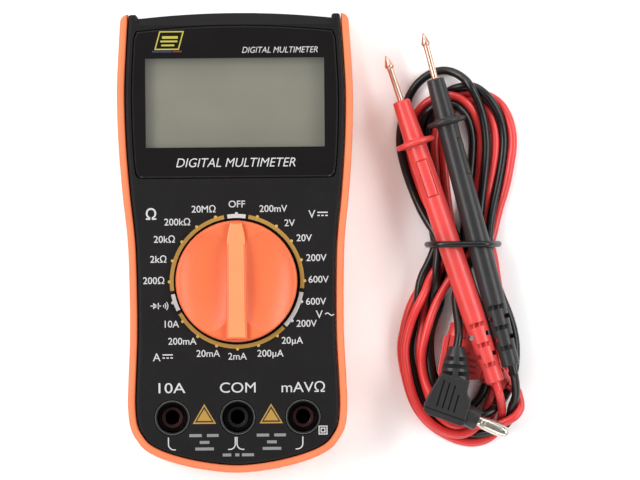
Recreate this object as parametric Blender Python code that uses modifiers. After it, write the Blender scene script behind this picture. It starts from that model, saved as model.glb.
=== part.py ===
"""A pocket digital multimeter with its pair of test leads, as an assembly of separate pieces.

The meter lies on its back: +X is to its right, +Y towards its display, +Z out of its face.
The origin is under the middle of the meter, on the surface that it lies on.
All dimensions are in millimetres, and the helpers turn them into metres.
"""

import math

import bmesh
import bpy
from mathutils import Matrix, Vector

MM = 0.001
GAP = 0.3  # between neighbouring pieces

# Case: heights above the surface that the meter lies on
HALF_LENGTH = 66.95
FACE_Z = 27.0
SPLIT_Z = 12.9  # where the rear cover ends
CEILING_Z = 24.4  # underside of the front panel
FLOOR_Z = 2.0  # inside of the rear panel
WALL = 1.8
BUMPER_WIDTH = 2.25
BUMPER_LOW, BUMPER_HIGH = 0.8, 25.8
TOP_ARCH_RADIUS = 250.0
EAR_INNER, EAR_TOP = 28.3, 66.6
# Right half of the case outline, from its top corner to the middle of its bottom
SIDE = [
    (33.3, 64.3), (33.9, 55.0), (34.4, 43.0), (34.0, 28.0), (32.9, 13.5), (31.55, 0.0),
    (31.15, -16.0), (31.2, -28.0), (31.75, -40.0), (31.95, -47.5), (31.3, -53.5),
    (29.4, -57.4), (26.4, -60.6), (20.4, -63.4), (11.0, -65.8), (0.0, -HALF_LENGTH),
]

# Display
LENS_INSET = 4.35
LENS_LOW_Y, LENS_TOP_Y = 19.0, 62.4
LENS_Z = (26.0, 27.3)
WINDOW_CENTRE_Y = 40.8
WINDOW_HALF = (27.0, 14.0)
LCD_HALF_WIDTH, LCD_Y, LCD_Z = 27.0, (25.3, 55.9), (21.6, 23.9)
BOARD_HALF_WIDTH, BOARD_Y, BOARD_Z = 26.3, (-55.0, 27.2), (14.4, 16.0)

# Selector switch
KNOB_Y = -11.2
KNOB_RADIUS, KNOB_RECESS_RADIUS = 17.7, 18.35
KNOB_Z = (25.3, 30.2)
KNOB_BAR_TOP = 32.0
HUB_RADIUS, HUB_HOLE_RADIUS = 9.8, 10.2
BOSS_RADIUS, BOSS_LOW = 20.3, 23.0
POSITIONS = 20
ROTOR_RADII, ROTOR_Z = (10.15, 16.0), (17.05, 22.6)
BALL_RADIUS, BALL_CENTRE_Z, BALL_ORBIT = 1.25, 21.35, 13.2

# Input jacks: 4 mm sockets on the standard three-quarter inch spacing
JACK_Y, JACK_PITCH = -50.8, 19.05
CUP_RADIUS, WELL_RADIUS, WELL_FLOOR_Z = 5.05, 4.45, 18.5
LINER_RADIUS, LINER_TOP = 3.3, 22.4
SOCKET_RADII = (2.1, 2.5)

# Screws
SCREW_RADIUS, SCREW_HOLE, HEAD_RADIUS, HEAD_HOLE = 1.2, 1.5, 2.6, 2.9
CASE_SCREWS = [(-26.4, 60.4), (26.4, 60.4), (-9.5, -58.3), (9.5, -58.3)]
BOARD_SCREWS = [(-22.5, 14.0), (22.5, -36.0)]

# Battery bay: a 9 V block lying across the meter behind the display
BATTERY_LOW, BATTERY_HIGH = (-27.0, 28.3, 2.6), (19.0, 54.8, 20.1)
DOOR_HALF_WIDTH, DOOR_Y, TONGUE_HALF, TONGUE_LOW = 27.9, (27.5, 55.7), 6.0, 20.0
DOOR_SCREW_Y = 22.8

# Tilt stand
STAND_AXIS = (0.0, 2.0, 1.6)
STAND_HALF_WIDTH, STAND_LOW_Y, STAND_THICK = 15.1, -47.9, 1.8

# Test leads
CORD_RADIUS = 1.25
PROBE_LENGTH, TIP_LENGTH = 101.0, 14.0
PLUG_THICKNESS, PLUG_LENGTH, PIN_RADIUS = 7.8, 13.0, 2.0
HANK_HEIGHT, HANK_UPPER_HEIGHT = 6.8, 3.2
TIE_RADIUS, TIE_Y = 0.9, -1.0

BLACK = (0.02, 0.02, 0.022)
ORANGE = (1.0, 0.2, 0.08)
RED = (0.75, 0.03, 0.03)
STEEL = (0.7, 0.7, 0.7)
BRASS = (0.8, 0.6, 0.25)


# ---------------------------------------------------------------- helpers

def start():
    for obj in list(bpy.data.objects):
        bpy.data.objects.remove(obj, do_unlink=True)
    made = {}
    for name in ("multimeter", "cutters"):
        made[name] = bpy.data.collections.new(name)
        bpy.context.scene.collection.children.link(made[name])
    return made


COLLECTIONS = start()


def metres(values):
    return Vector(values) * MM


def add_object(name, data):
    obj = bpy.data.objects.new(name, data)
    COLLECTIONS["multimeter"].objects.link(obj)
    return obj


def mesh_object(name, shape):
    mesh = bpy.data.meshes.new(name)
    shape.to_mesh(mesh)
    shape.free()
    return add_object(name, mesh)


def box(name, low, high):
    shape = bmesh.new()
    bmesh.ops.create_cube(shape, size=1)
    size = [(b - a) * MM for a, b in zip(low, high)]
    bmesh.ops.scale(shape, vec=size, verts=shape.verts)
    obj = mesh_object(name, shape)
    obj.location = metres([(a + b) / 2 for a, b in zip(low, high)])
    return obj


def cylinder(name, centre, radius, low, high, sides=24, along="Z"):
    """A cylinder between two heights. Along X, centre gives Y and Z."""
    shape = bmesh.new()
    bmesh.ops.create_cone(
        shape, cap_ends=True, segments=sides,
        radius1=radius * MM, radius2=radius * MM, depth=(high - low) * MM,
    )
    obj = mesh_object(name, shape)
    middle = (low + high) / 2
    if along == "Z":
        obj.location = metres((centre[0], centre[1], middle))
    else:
        obj.location = metres((middle, centre[0], centre[1]))
        obj.rotation_euler = (0, math.pi / 2, 0)
    return obj


def ball(name, centre, radii, segments=12, rings=8):
    shape = bmesh.new()
    bmesh.ops.create_uvsphere(shape, u_segments=segments, v_segments=rings, radius=MM)
    bmesh.ops.scale(shape, vec=radii, verts=shape.verts)
    obj = mesh_object(name, shape)
    obj.location = metres(centre)
    return obj


def turned(name, profile, steps=16, closed=False):
    """A profile of (radius, height) points, down its outer side, turned about Z."""
    shape = bmesh.new()
    verts = [shape.verts.new(metres((r, 0, z))) for r, z in profile]
    ends = verts[1:] + verts[:1] if closed else verts[1:]
    for a, b in zip(verts, ends):
        shape.edges.new((a, b))
    obj = mesh_object(name, shape)
    turn = obj.modifiers.new("turn", "SCREW")
    turn.steps = turn.render_steps = steps
    turn.use_merge_vertices = True
    turn.merge_threshold = 0.00001
    turn.use_smooth_shade = True
    return obj


def frozen(obj):
    """The same shape as a plain mesh object, with doubled points welded."""
    bpy.context.view_layer.update()
    seen = obj.evaluated_get(bpy.context.evaluated_depsgraph_get())
    mesh = bpy.data.meshes.new_from_object(seen)
    shape = bmesh.new()
    shape.from_mesh(mesh)
    bmesh.ops.remove_doubles(shape, verts=shape.verts, dist=0.000001)
    bmesh.ops.dissolve_limit(shape, angle_limit=0.001, verts=shape.verts, edges=shape.edges)
    shape.to_mesh(mesh)
    shape.free()
    name, place = obj.name, obj.matrix_world.copy()
    bpy.data.objects.remove(obj, do_unlink=True)
    mesh.name = name
    made = add_object(name, mesh)
    made.matrix_world = place
    return made


def prism(name, outline, low, high):
    """A flat outline between two heights."""
    curve = bpy.data.curves.new(name, "CURVE")
    curve.dimensions = "2D"
    curve.fill_mode = "BOTH"
    curve.extrude = (high - low) / 2 * MM
    spline = curve.splines.new("POLY")
    spline.points.add(len(outline) - 1)
    for point, (x, y) in zip(spline.points, outline):
        point.co = (x * MM, y * MM, 0, 1)
    spline.use_cyclic_u = True
    obj = add_object(name, curve)
    obj.location = (0, 0, (low + high) / 2 * MM)
    return frozen(obj)


def tube(name, points, radius, cyclic=False):
    curve = bpy.data.curves.new(name, "CURVE")
    curve.dimensions = "3D"
    curve.bevel_depth = radius * MM
    curve.bevel_resolution = 2
    curve.use_fill_caps = not cyclic
    spline = curve.splines.new("POLY")
    spline.points.add(len(points) - 1)
    for point, place in zip(spline.points, points):
        point.co = (*metres(place), 1)
    spline.use_cyclic_u = cyclic
    return add_object(name, curve)


def boolean(target, other, operation):
    change = target.modifiers.new(other.name, "BOOLEAN")
    change.operation = operation
    change.solver = "EXACT"
    change.object = other
    COLLECTIONS["multimeter"].objects.unlink(other)
    COLLECTIONS["cutters"].objects.link(other)
    other.hide_render = True
    other.display_type = "WIRE"


def cut(target, *others):
    for other in others:
        boolean(target, other, "DIFFERENCE")


def join(target, *others):
    for other in others:
        boolean(target, other, "UNION")


def round_rim(obj, height, width, segments=2):
    """Rounds the outer edges that lie at one height."""
    mesh = obj.data
    weights = mesh.attributes.new("bevel_weight_edge", "FLOAT", "EDGE")
    level = height * MM - obj.location.z
    shape = bmesh.new()
    shape.from_mesh(mesh)
    for index, edge in enumerate(shape.edges):
        flat = all(abs(v.co.z - level) < 0.00001 for v in edge.verts)
        if flat and edge.calc_face_angle(0) > 0.5:
            weights.data[index].value = 1
    shape.free()
    bevel = obj.modifiers.new("rim", "BEVEL")
    bevel.limit_method = "WEIGHT"
    bevel.width = width * MM
    bevel.segments = segments


def round_edges(obj, width, segments=2):
    bevel = obj.modifiers.new("edges", "BEVEL")
    bevel.limit_method = "ANGLE"
    bevel.angle_limit = math.radians(50)
    bevel.width = width * MM
    bevel.segments = segments


def finish(obj, colour, roughness, metallic=0.0):
    material = bpy.data.materials.new(obj.name)
    material.use_nodes = True
    shader = material.node_tree.nodes["Principled BSDF"]
    shader.inputs["Base Color"].default_value = (*colour, 1)
    shader.inputs["Roughness"].default_value = roughness
    shader.inputs["Metallic"].default_value = metallic
    obj.data.materials.append(material)
    if obj.type == "MESH":
        obj.data.shade_smooth()
        obj.data.set_sharp_from_angle(angle=math.radians(35))
    return obj


def axis_empty(name, place):
    empty = bpy.data.objects.new(name, None)
    COLLECTIONS["multimeter"].objects.link(empty)
    empty.location = metres(place)
    return empty


def hold(empty, *pieces):
    """Parents pieces to a joint's empty and leaves them where they are."""
    bpy.context.view_layer.update()
    for piece in pieces:
        piece.parent = empty
        piece.matrix_parent_inverse = empty.matrix_world.inverted()


def around(centre, radius, count, start_degrees=0.0):
    """Places spaced evenly round a circle, each with its angle."""
    for index in range(count):
        angle = math.radians(start_degrees + index * 360 / count)
        yield angle, centre[0] + radius * math.cos(angle), centre[1] + radius * math.sin(angle)


# ---------------------------------------------------------------- outlines

def smooth_path(points, steps, closed=False):
    """Points on a Catmull-Rom curve through the given ones."""
    known = [Vector(p) for p in points]
    count = len(known)
    path = []
    for index in range(count if closed else count - 1):
        if closed:
            a, b, c, d = (known[(index + shift) % count] for shift in (-1, 0, 1, 2))
        else:
            b, c = known[index], known[index + 1]
            a = known[index - 1] if index else 2 * b - c
            d = known[index + 2] if index + 2 < count else 2 * c - b
        for step in range(steps):
            t = step / steps
            path.append(
                b + (c - a) * (t / 2)
                + (2 * a - 5 * b + 4 * c - d) * (t * t / 2)
                + (3 * b - a - 3 * c + d) * (t ** 3 / 2)
            )
    return path if closed else path + [known[-1]]


def rim_path(inset):
    """The case outline moved inwards, down the right side, round the bottom and up the left."""
    left = [(-x, y) for x, y in reversed(SIDE[:-1])]
    path = smooth_path(SIDE + left, 2)
    moved = []
    for index, point in enumerate(path):
        along = path[min(index + 1, len(path) - 1)] - path[max(index - 1, 0)]
        inward = Vector((along.y, -along.x)).normalized()
        moved.append(point + inward * inset)
    return moved


def arch(top_inset, half_width, count):
    """The arched top edge, from left to right."""
    points = []
    for index in range(count + 1):
        x = -half_width + 2 * half_width * index / count
        points.append((x, HALF_LENGTH - top_inset - x * x / (2 * TOP_ARCH_RADIUS)))
    return points


def cover_outline():
    """Both covers: inside the bumper, with an arched top edge between two ears."""
    path = rim_path(BUMPER_WIDTH + GAP)
    side = path[0].x
    ear = [(EAR_INNER, EAR_TOP - 0.6), (EAR_INNER + 0.6, EAR_TOP), (side - 0.6, EAR_TOP)]
    ear.append((side, EAR_TOP - 0.6))
    left_ear = [(-x, y) for x, y in reversed(ear)]
    return [tuple(p) for p in path] + left_ear + arch(0, EAR_INNER, 8) + ear


def cavity_outline():
    inset = BUMPER_WIDTH + GAP + WALL
    path = [tuple(p) for p in rim_path(inset) if p.y < 60]
    return path + arch(2 * WALL, path[0][0], 6)


def bumper_outline():
    outer, inner = rim_path(0), rim_path(BUMPER_WIDTH)
    corner = 1.7
    top = EAR_TOP - 0.1
    middle_x, middle_y = outer[0].x - corner, top - corner
    bend = []
    for step in range(3):
        angle = math.radians(90 - 30 * step)
        bend.append((middle_x + corner * math.cos(angle), middle_y + corner * math.sin(angle)))
    left_bend = [(-x, y) for x, y in reversed(bend)]
    inner_top = [(inner[0].x, top)]
    outline = bend + [tuple(p) for p in outer[1:-1]] + left_bend
    outline += [(-inner[0].x, top)]
    return outline + [tuple(p) for p in reversed(inner)] + inner_top


def lens_outline(grow):
    """The window plate: it follows the sides of the case and the arched top."""
    corner = 2.0
    low, high = LENS_LOW_Y - grow, LENS_TOP_Y + grow
    arch_drop = 28.0 ** 2 / (2 * TOP_ARCH_RADIUS)
    path = rim_path(LENS_INSET - grow)
    right = [tuple(p) for p in path if p.x > 0 and low + corner + 1 < p.y < high - arch_drop - 1]
    side = right[-1][0] - 0.3
    for step in range(4):
        angle = math.radians(-30 * step)
        right.append((
            side - corner + corner * math.cos(angle), low + corner + corner * math.sin(angle)))
    left = [(-x, y) for x, y in reversed(right)]
    return right + left + arch(HALF_LENGTH - high, right[0][0] - 0.8, 8)


# ---------------------------------------------------------------- case

def front_cover():
    cover = prism("front_cover", cover_outline(), SPLIT_Z + GAP, FACE_Z)
    round_rim(cover, FACE_Z, 0.9)
    cut(cover, prism("front_cavity", cavity_outline(), SPLIT_Z - 1, CEILING_Z))
    shoulder = box("shoulder_cut", (-EAR_INNER, 0, 0), (EAR_INNER, 12, 6))
    slope = math.atan2(3.5, 4.1)
    shoulder.rotation_euler = (-slope, 0, 0)
    half = Matrix.Rotation(-slope, 3, "X") @ Vector((0, 6, 3))
    shoulder.location = metres(Vector((0, 63.1, FACE_Z)) + half)
    cut(cover, shoulder)
    cut(cover, prism("lens_recess", lens_outline(GAP), LENS_Z[0] - GAP, FACE_Z + 1))
    window_x, window_y = WINDOW_HALF
    cut(cover, box(
        "display_window", (-window_x, WINDOW_CENTRE_Y - window_y, CEILING_Z - 1),
        (window_x, WINDOW_CENTRE_Y + window_y, FACE_Z + 1)))
    knob = (0, KNOB_Y)
    join(cover, cylinder("switch_boss", knob, BOSS_RADIUS, BOSS_LOW, CEILING_Z + 0.1, 40))
    cut(cover, cylinder(
        "knob_recess", knob, KNOB_RECESS_RADIUS, KNOB_Z[0] - GAP, FACE_Z + 1, 48))
    cut(cover, cylinder("hub_hole", knob, HUB_HOLE_RADIUS, BOSS_LOW - 1, FACE_Z, 32))
    cut(cover, detent_grooves())
    for index in (-1, 0, 1):
        jack = (index * JACK_PITCH, JACK_Y)
        cut(cover, cylinder("jack_hole", jack, CUP_RADIUS + GAP, CEILING_Z - 1, FACE_Z + 1, 32))
    for place in CASE_SCREWS:
        join(cover, cylinder("screw_boss", place, 2.8, SPLIT_Z + GAP, CEILING_Z + 0.1, 16))
        cut(cover, cylinder("screw_pilot", place, SCREW_HOLE, SPLIT_Z, 22, 12))
    for place in BOARD_SCREWS:
        join(cover, cylinder("board_boss", place, 2.6, BOARD_Z[1] + GAP, CEILING_Z + 0.1, 16))
        cut(cover, cylinder("board_pilot", place, SCREW_HOLE, BOARD_Z[1], 23, 12))
    return finish(cover, BLACK, 0.45)


def detent_grooves():
    """One cutter of V-shaped grooves under the switch boss, one for each switch position."""
    shape = bmesh.new()
    half, inner, outer = 0.55, 11.6, 15.0
    for angle, _, _ in around((0, 0), 0, POSITIONS):
        place = Matrix.Rotation(angle, 4, "Z") @ Matrix.Translation(
            metres(((inner + outer) / 2, 0, 0)))
        size = Matrix.Diagonal(((outer - inner) * MM, half * MM, half * MM, 1))
        turn = Matrix.Rotation(math.pi / 4, 4, "X")
        bmesh.ops.create_cube(shape, size=1, matrix=place @ turn @ size)
    obj = mesh_object("detent_grooves", shape)
    obj.location = metres((0, KNOB_Y, BOSS_LOW))
    return obj


def rear_cover():
    cover = prism("rear_cover", cover_outline(), 0, SPLIT_Z)
    round_rim(cover, 0, 1.2)
    cut(cover, prism("rear_cavity", cavity_outline(), FLOOR_Z, SPLIT_Z + 1))
    for place in CASE_SCREWS:
        join(cover, cylinder("screw_post", place, 3.9, FLOOR_Z - 0.5, SPLIT_Z, 16))
        cut(cover, cylinder("head_hole", place, HEAD_HOLE, -1, 6, 16))
        cut(cover, cylinder("screw_hole", place, SCREW_HOLE, 5, SPLIT_Z + 1, 12))
    join(cover, box("lower_rib", (-22, 25.6, 1.5), (20, 26.8, 13.9)))
    join(cover, box("door_pad", (-8, 17.9, 1.5), (8, 26.9, 4.3)))
    join(cover, cylinder("door_boss", (0, DOOR_SCREW_Y), 3.0, 4.0, 10.0, 16))
    cut(cover, box(
        "door_opening", (-DOOR_HALF_WIDTH - GAP, DOOR_Y[0] - GAP, -1),
        (DOOR_HALF_WIDTH + GAP, DOOR_Y[1] + GAP, FLOOR_Z + GAP)))
    cut(cover, box(
        "tongue_notch", (-TONGUE_HALF - GAP, TONGUE_LOW - GAP, -1),
        (TONGUE_HALF + GAP, DOOR_Y[0] + 1, FLOOR_Z + GAP)))
    cut(cover, cylinder("door_pilot", (0, DOOR_SCREW_Y), SCREW_HOLE, 1, 9, 12))
    half = STAND_HALF_WIDTH + 0.4
    join(cover, box("stand_pad", (-half - 2.5, -50.8, 1.5), (half + 2.5, 6.0, 4.8)))
    cut(cover, box("stand_pocket", (-half, STAND_LOW_Y - 0.5, -1), (half, 3.4, 2.9)))
    cut(cover, cylinder(
        "stand_pivot", STAND_AXIS[1:], 1.2, -half - 1.3, half + 1.3, 12, along="X"))
    return finish(cover, BLACK, 0.5)


def bumper():
    band = prism("bumper", bumper_outline(), BUMPER_LOW, BUMPER_HIGH)
    round_rim(band, BUMPER_HIGH, 0.8)
    return finish(band, ORANGE, 0.5)


def case_screws():
    profile = [(0, 20.5), (SCREW_RADIUS, 20.5), (SCREW_RADIUS, 5.7), (HEAD_RADIUS, 5.7)]
    profile += [(HEAD_RADIUS, 4.2), (HEAD_RADIUS - 0.4, 3.9), (0, 3.9)]
    made = []
    for number, (x, y) in enumerate(CASE_SCREWS, 1):
        screw = turned(f"case_screw_{number}", profile, 12)
        screw.location = metres((x, y, 0))
        made.append(finish(screw, STEEL, 0.3, 1.0))
    return made


# ---------------------------------------------------------------- display and board

def display_lens():
    lens = prism("display_lens", lens_outline(0), *LENS_Z)
    round_rim(lens, LENS_Z[1], 0.35, 1)
    return finish(lens, (0.05, 0.05, 0.05), 0.08)


def lcd():
    glass = box("lcd_glass", (-LCD_HALF_WIDTH, LCD_Y[0], LCD_Z[0]), (
        LCD_HALF_WIDTH, LCD_Y[1], LCD_Z[1]))
    finish(glass, (0.27, 0.26, 0.2), 0.2)
    outer, inner = LCD_HALF_WIDTH + 1.9, LCD_HALF_WIDTH + GAP
    ledge = LCD_Z[0] - GAP
    frame = box("lcd_frame", (-outer, LCD_Y[0] - 1.7, ledge - 0.9), (
        outer, LCD_Y[1] + 1.3, CEILING_Z - GAP))
    cut(frame, box("glass_bay", (-inner, LCD_Y[0] - GAP, ledge), (
        inner, LCD_Y[1] + GAP, CEILING_Z + 1)))
    cut(frame, box("frame_window", (-24.7, LCD_Y[0] - 0.2, ledge - 2), (24.7, 55, CEILING_Z)))
    finish(frame, (0.8, 0.8, 0.78), 0.5)
    strip = box("zebra_strip", (-24.3, LCD_Y[0] + 0.1, BOARD_Z[1] + GAP), (
        24.3, BOARD_Y[1], ledge))
    finish(strip, (0.3, 0.3, 0.32), 0.8)


def circuit_board():
    low, high = BOARD_Y
    half, corner = BOARD_HALF_WIDTH, 5.0
    outline = [(-half, high), (-half, low + corner), (-half + corner, low)]
    outline += [(half - corner, low), (half, low + corner), (half, high)]
    board = prism("circuit_board", outline, *BOARD_Z)
    for place in BOARD_SCREWS:
        cut(board, cylinder("board_hole", place, SCREW_HOLE, BOARD_Z[0] - 1, BOARD_Z[1] + 1, 12))
    for index in (-1, 0, 1):
        cut(board, cylinder(
            "socket_hole", (index * JACK_PITCH, JACK_Y), SOCKET_RADII[1] + GAP,
            BOARD_Z[0] - 1, BOARD_Z[1] + 1, 16))
    finish(board, (0.03, 0.22, 0.06), 0.5)
    profile = [(0, 22), (SCREW_RADIUS, 22), (SCREW_RADIUS, 14.1), (2.4, 14.1), (2.4, 12.4)]
    for number, (x, y) in enumerate(BOARD_SCREWS, 1):
        screw = turned(f"board_screw_{number}", profile + [(0, 12.4)], 12)
        screw.location = metres((x, y, 0))
        finish(screw, STEEL, 0.3, 1.0)


def board_parts():
    under = BOARD_Z[0] - GAP
    buzzer = cylinder("buzzer", (14, 4), 6.0, 8.5, under, 20)
    cut(buzzer, cylinder("sound_hole", (14, 4), 1.2, 7, 11, 10))
    finish(buzzer, (0.03, 0.03, 0.03), 0.5)
    chip = turned("chip_cover", [
        (0, under), (7, under), (6.4, under - 0.7), (4.5, under - 1.2), (0, under - 1.4)], 16)
    chip.location = metres((-6, -4, 0))
    finish(chip, (0.02, 0.02, 0.02), 0.35)
    bend, centre_x, centre_z, wire_y = 5.0, -9.5, 11.2, -44.5
    route = [(centre_x - bend, wire_y, under)]
    for step in range(9):
        angle = math.pi + math.pi * step / 8
        route.append((
            centre_x + bend * math.cos(angle), wire_y, centre_z + bend * math.sin(angle)))
    route.append((centre_x + bend, wire_y, under))
    finish(tube("shunt_wire", route, 0.8), (0.7, 0.45, 0.3), 0.35, 1.0)
    for number, fuse_y in enumerate((-24.0, -33.0), 1):
        fuse(number, -12.0, fuse_y)


def fuse(number, x, y):
    """A 5 x 20 mm glass fuse and its two clips under the board."""
    height, half = 10.6, 10.0
    profile = [(0, half), (2.6, half), (2.6, 4.6), (2.4, 4.6), (2.4, -4.6), (2.6, -4.6)]
    body = turned(f"fuse_{number}", profile + [(2.6, -half), (0, -half)], 12)
    body.rotation_euler = (0, math.pi / 2, 0)
    body.location = metres((x, y, height))
    finish(body, (0.75, 0.78, 0.78), 0.2)
    for side, name in ((-1, "left"), (1, "right")):
        middle = x + side * 7.2
        clip = box(f"fuse_clip_{number}_{name}", (middle - 2, y - 3.4, 8.6), (
            middle + 2, y + 3.4, 14.1))
        cut(clip, cylinder("clip_bore", (y, height), 2.9, middle - 3, middle + 3, 16, along="X"))
        cut(clip, box("clip_mouth", (middle - 3, y - 2.2, 8), (middle + 3, y + 2.2, height)))
        finish(clip, BRASS, 0.3, 1.0)


# ---------------------------------------------------------------- selector switch

def selector():
    axis = axis_empty("selector_axis", (0, KNOB_Y, 0))
    knob = cylinder("selector_knob", (0, KNOB_Y), KNOB_RADIUS, *KNOB_Z, 48)
    round_rim(knob, KNOB_Z[1], 0.9)
    for side in (-1, 1):
        cut(knob, ball("finger_scoop", (side * 10.2, KNOB_Y, 31.4), (6.6, 13.6, 4.6), 20, 12))
    bar = [(3.15, -16.9), (2.9, 0), (2.9, 12.3), (1.8, 17.3)]
    bar += [(-x, y) for x, y in reversed(bar)]
    grip = prism("grip_bar", [(x, y + KNOB_Y) for x, y in bar], KNOB_Z[0] + 0.2, KNOB_BAR_TOP)
    round_rim(grip, KNOB_BAR_TOP, 0.6, 1)
    join(knob, grip)
    join(knob, cylinder("hub", (0, KNOB_Y), HUB_RADIUS, 17.9, KNOB_Z[0] + 0.5, 32))
    cut(knob, cylinder("hub_hollow", (0, KNOB_Y), 8.2, 17, 25.6, 24))
    finish(knob, ORANGE, 0.4)

    inner, outer = ROTOR_RADII
    low, high = ROTOR_Z
    ring = [(inner, high), (outer, high), (outer, low), (inner, low)]
    rotor = turned("switch_rotor", ring, 32, closed=True)
    rotor.location = metres((0, KNOB_Y, 0))
    for _, x, y in around((0, KNOB_Y), BALL_ORBIT, 2):
        cut(rotor, cylinder("ball_pocket", (x, y), 1.5, low + 0.8, high + 1, 12))
    finish(rotor, (0.85, 0.85, 0.82), 0.5)
    held = [knob, rotor]
    leaves = around((0, KNOB_Y), BALL_ORBIT, 3, 90)
    for number, (angle, x, y) in enumerate(leaves, 1):
        held.append(contact_spring(number, x, y, angle))
    hold(axis, *held)
    for name, (_, x, y) in zip(("right", "left"), around((0, KNOB_Y), BALL_ORBIT, 2)):
        detent(name, x, y, axis)


def contact_spring(number, x, y, angle):
    """A bent bronze leaf that wipes the tracks on the board."""
    low = [(-4.5, 0.3), (-1.5, 0), (1.5, 0), (4.5, 0.3)]
    leaf = prism(f"contact_spring_{number}", low + [(a, b + 0.3) for a, b in reversed(low)], -0.8, 0.8)
    leaf.rotation_euler = (math.pi / 2, 0, angle + math.pi / 2)
    leaf.location = metres((x, y, BOARD_Z[1] + 0.2))
    return finish(leaf, BRASS, 0.3, 1.0)


def detent(name, x, y, axis):
    """A steel ball on a coil spring, which clicks into the grooves above it."""
    slide = axis_empty(f"detent_axis_{name}", (x, y, BALL_CENTRE_Z))
    steel_ball = ball(f"detent_ball_{name}", (x, y, BALL_CENTRE_Z), [BALL_RADIUS] * 3)
    finish(steel_ball, STEEL, 0.15, 1.0)
    turns, steps, coil_radius, wire = 2.5, 20, 0.8, 0.2
    low, high = ROTOR_Z[0] + 1.3, BALL_CENTRE_Z - BALL_RADIUS - GAP - wire
    route = []
    for step in range(steps + 1):
        turn = 2 * math.pi * turns * step / steps
        height = low + (high - low) * step / steps
        route.append((x + coil_radius * math.cos(turn), y + coil_radius * math.sin(turn), height))
    spring = finish(tube(f"detent_spring_{name}", route, wire), STEEL, 0.3, 1.0)
    hold(axis, slide, spring)
    hold(slide, steel_ball)


# ---------------------------------------------------------------- jacks

def jacks():
    """A cup held under the panel by its flange, with a sleeve round the brass socket in it."""
    hole, socket_room, flange = 2.2, SOCKET_RADII[1] + GAP, 6.3
    low, rim = BOARD_Z[1] + 0.5, FACE_Z - 0.2
    flange_low, flange_high = CEILING_Z - 1.5, CEILING_Z - GAP
    outer, top = LINER_RADIUS, LINER_TOP
    liner_profile = [
        (hole, top), (outer - 0.3, top), (outer, top - 0.3), (outer, WELL_FLOOR_Z),
        (WELL_RADIUS, WELL_FLOOR_Z), (WELL_RADIUS, rim), (CUP_RADIUS, rim),
        (CUP_RADIUS, flange_high), (flange, flange_high), (flange, flange_low),
        (CUP_RADIUS, flange_low), (CUP_RADIUS, low), (socket_room, low),
        (socket_room, top - 1.4), (hole, top - 1.4),
    ]
    socket_profile = [
        (SOCKET_RADII[0], 20.7), (SOCKET_RADII[1], 20.7), (SOCKET_RADII[1], 10.0),
        (SOCKET_RADII[0], 10.0)]
    for index, name, colour in ((-1, "10a", RED), (0, "com", BLACK), (1, "volt_ohm", RED)):
        place = metres((index * JACK_PITCH, JACK_Y, 0))
        liner = turned(f"jack_liner_{name}", liner_profile, 24, closed=True)
        liner.location = place
        finish(liner, colour, 0.45)
        socket = turned(f"jack_socket_{name}", socket_profile, 20, closed=True)
        socket.location = place
        finish(socket, BRASS, 0.25, 1.0)


# ---------------------------------------------------------------- battery bay and stand

def battery_bay():
    block = box("battery", BATTERY_LOW, BATTERY_HIGH)
    round_edges(block, 1.0, 1)
    middle_z = (BATTERY_LOW[2] + BATTERY_HIGH[2]) / 2
    middle_y = (BATTERY_LOW[1] + BATTERY_HIGH[1]) / 2
    end = BATTERY_HIGH[0]
    for side, radius in ((-1, 2.8), (1, 3.5)):
        join(block, cylinder(
            "terminal", (middle_y + side * 6.35, middle_z), radius, end - 1, end + 2.2,
            12, along="X"))
    finish(block, (0.25, 0.27, 0.3), 0.4)
    snap = box("battery_snap", (end + 2.6, 30.5, 5.4), (end + 5.6, 52.6, 17.3))
    round_edges(snap, 0.6, 1)
    finish(snap, (0.03, 0.03, 0.03), 0.6)
    for name, start_y, colour in (("red", 47.0, RED), ("black", 36.0, BLACK)):
        depth = 9.0 if name == "red" else 12.5
        points = [
            (end + 5.9, start_y, depth), (26.6, start_y - 1, depth), (27.6, start_y - 4, depth),
            (27.6, 30.0, depth), (26.4, 26.5, depth), (24.4, 23.0, depth + 0.3),
            (23.6, 20.5, depth + 0.8), (23.4, 19.6, 13.5),
        ]
        if name == "black":
            points = [(x - 1.6 if y < 27 else x, y, z) for x, y, z in points]
        wire = tube(f"battery_wire_{name}", [tuple(p) for p in smooth_path(points, 2)], 0.55)
        finish(wire, colour, 0.5)

    low, high = DOOR_Y
    door = box("battery_door", (-DOOR_HALF_WIDTH, low, 0), (DOOR_HALF_WIDTH, high, FLOOR_Z))
    join(door, box("door_tongue", (-TONGUE_HALF, TONGUE_LOW, 0), (TONGUE_HALF, low + 1, FLOOR_Z)))
    cut(door, cylinder("door_head_hole", (0, DOOR_SCREW_Y), HEAD_HOLE, -1, 1.2, 16))
    cut(door, cylinder("door_hole", (0, DOOR_SCREW_Y), SCREW_HOLE, 0.6, 3, 12))
    finish(door, BLACK, 0.5)
    profile = [(0, 8), (SCREW_RADIUS, 8), (SCREW_RADIUS, 0.9), (HEAD_RADIUS, 0.9)]
    screw = turned("battery_door_screw", profile + [(HEAD_RADIUS, 0.3), (0, 0.3)], 12)
    screw.location = metres((0, DOOR_SCREW_Y, 0))
    finish(screw, STEEL, 0.3, 1.0)


def tilt_stand():
    axis = axis_empty("stand_axis", STAND_AXIS)
    _, pin_y, pin_z = STAND_AXIS
    half_thick = STAND_THICK / 2
    stand = box("tilt_stand", (-STAND_HALF_WIDTH, STAND_LOW_Y, pin_z - half_thick), (
        STAND_HALF_WIDTH, pin_y, pin_z + half_thick))
    join(stand, cylinder(
        "stand_pin", (pin_y, pin_z), half_thick, -STAND_HALF_WIDTH - 1.2,
        STAND_HALF_WIDTH + 1.2, 12, along="X"))
    finish(stand, BLACK, 0.5)
    hold(axis, stand)


# ---------------------------------------------------------------- test leads

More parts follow.
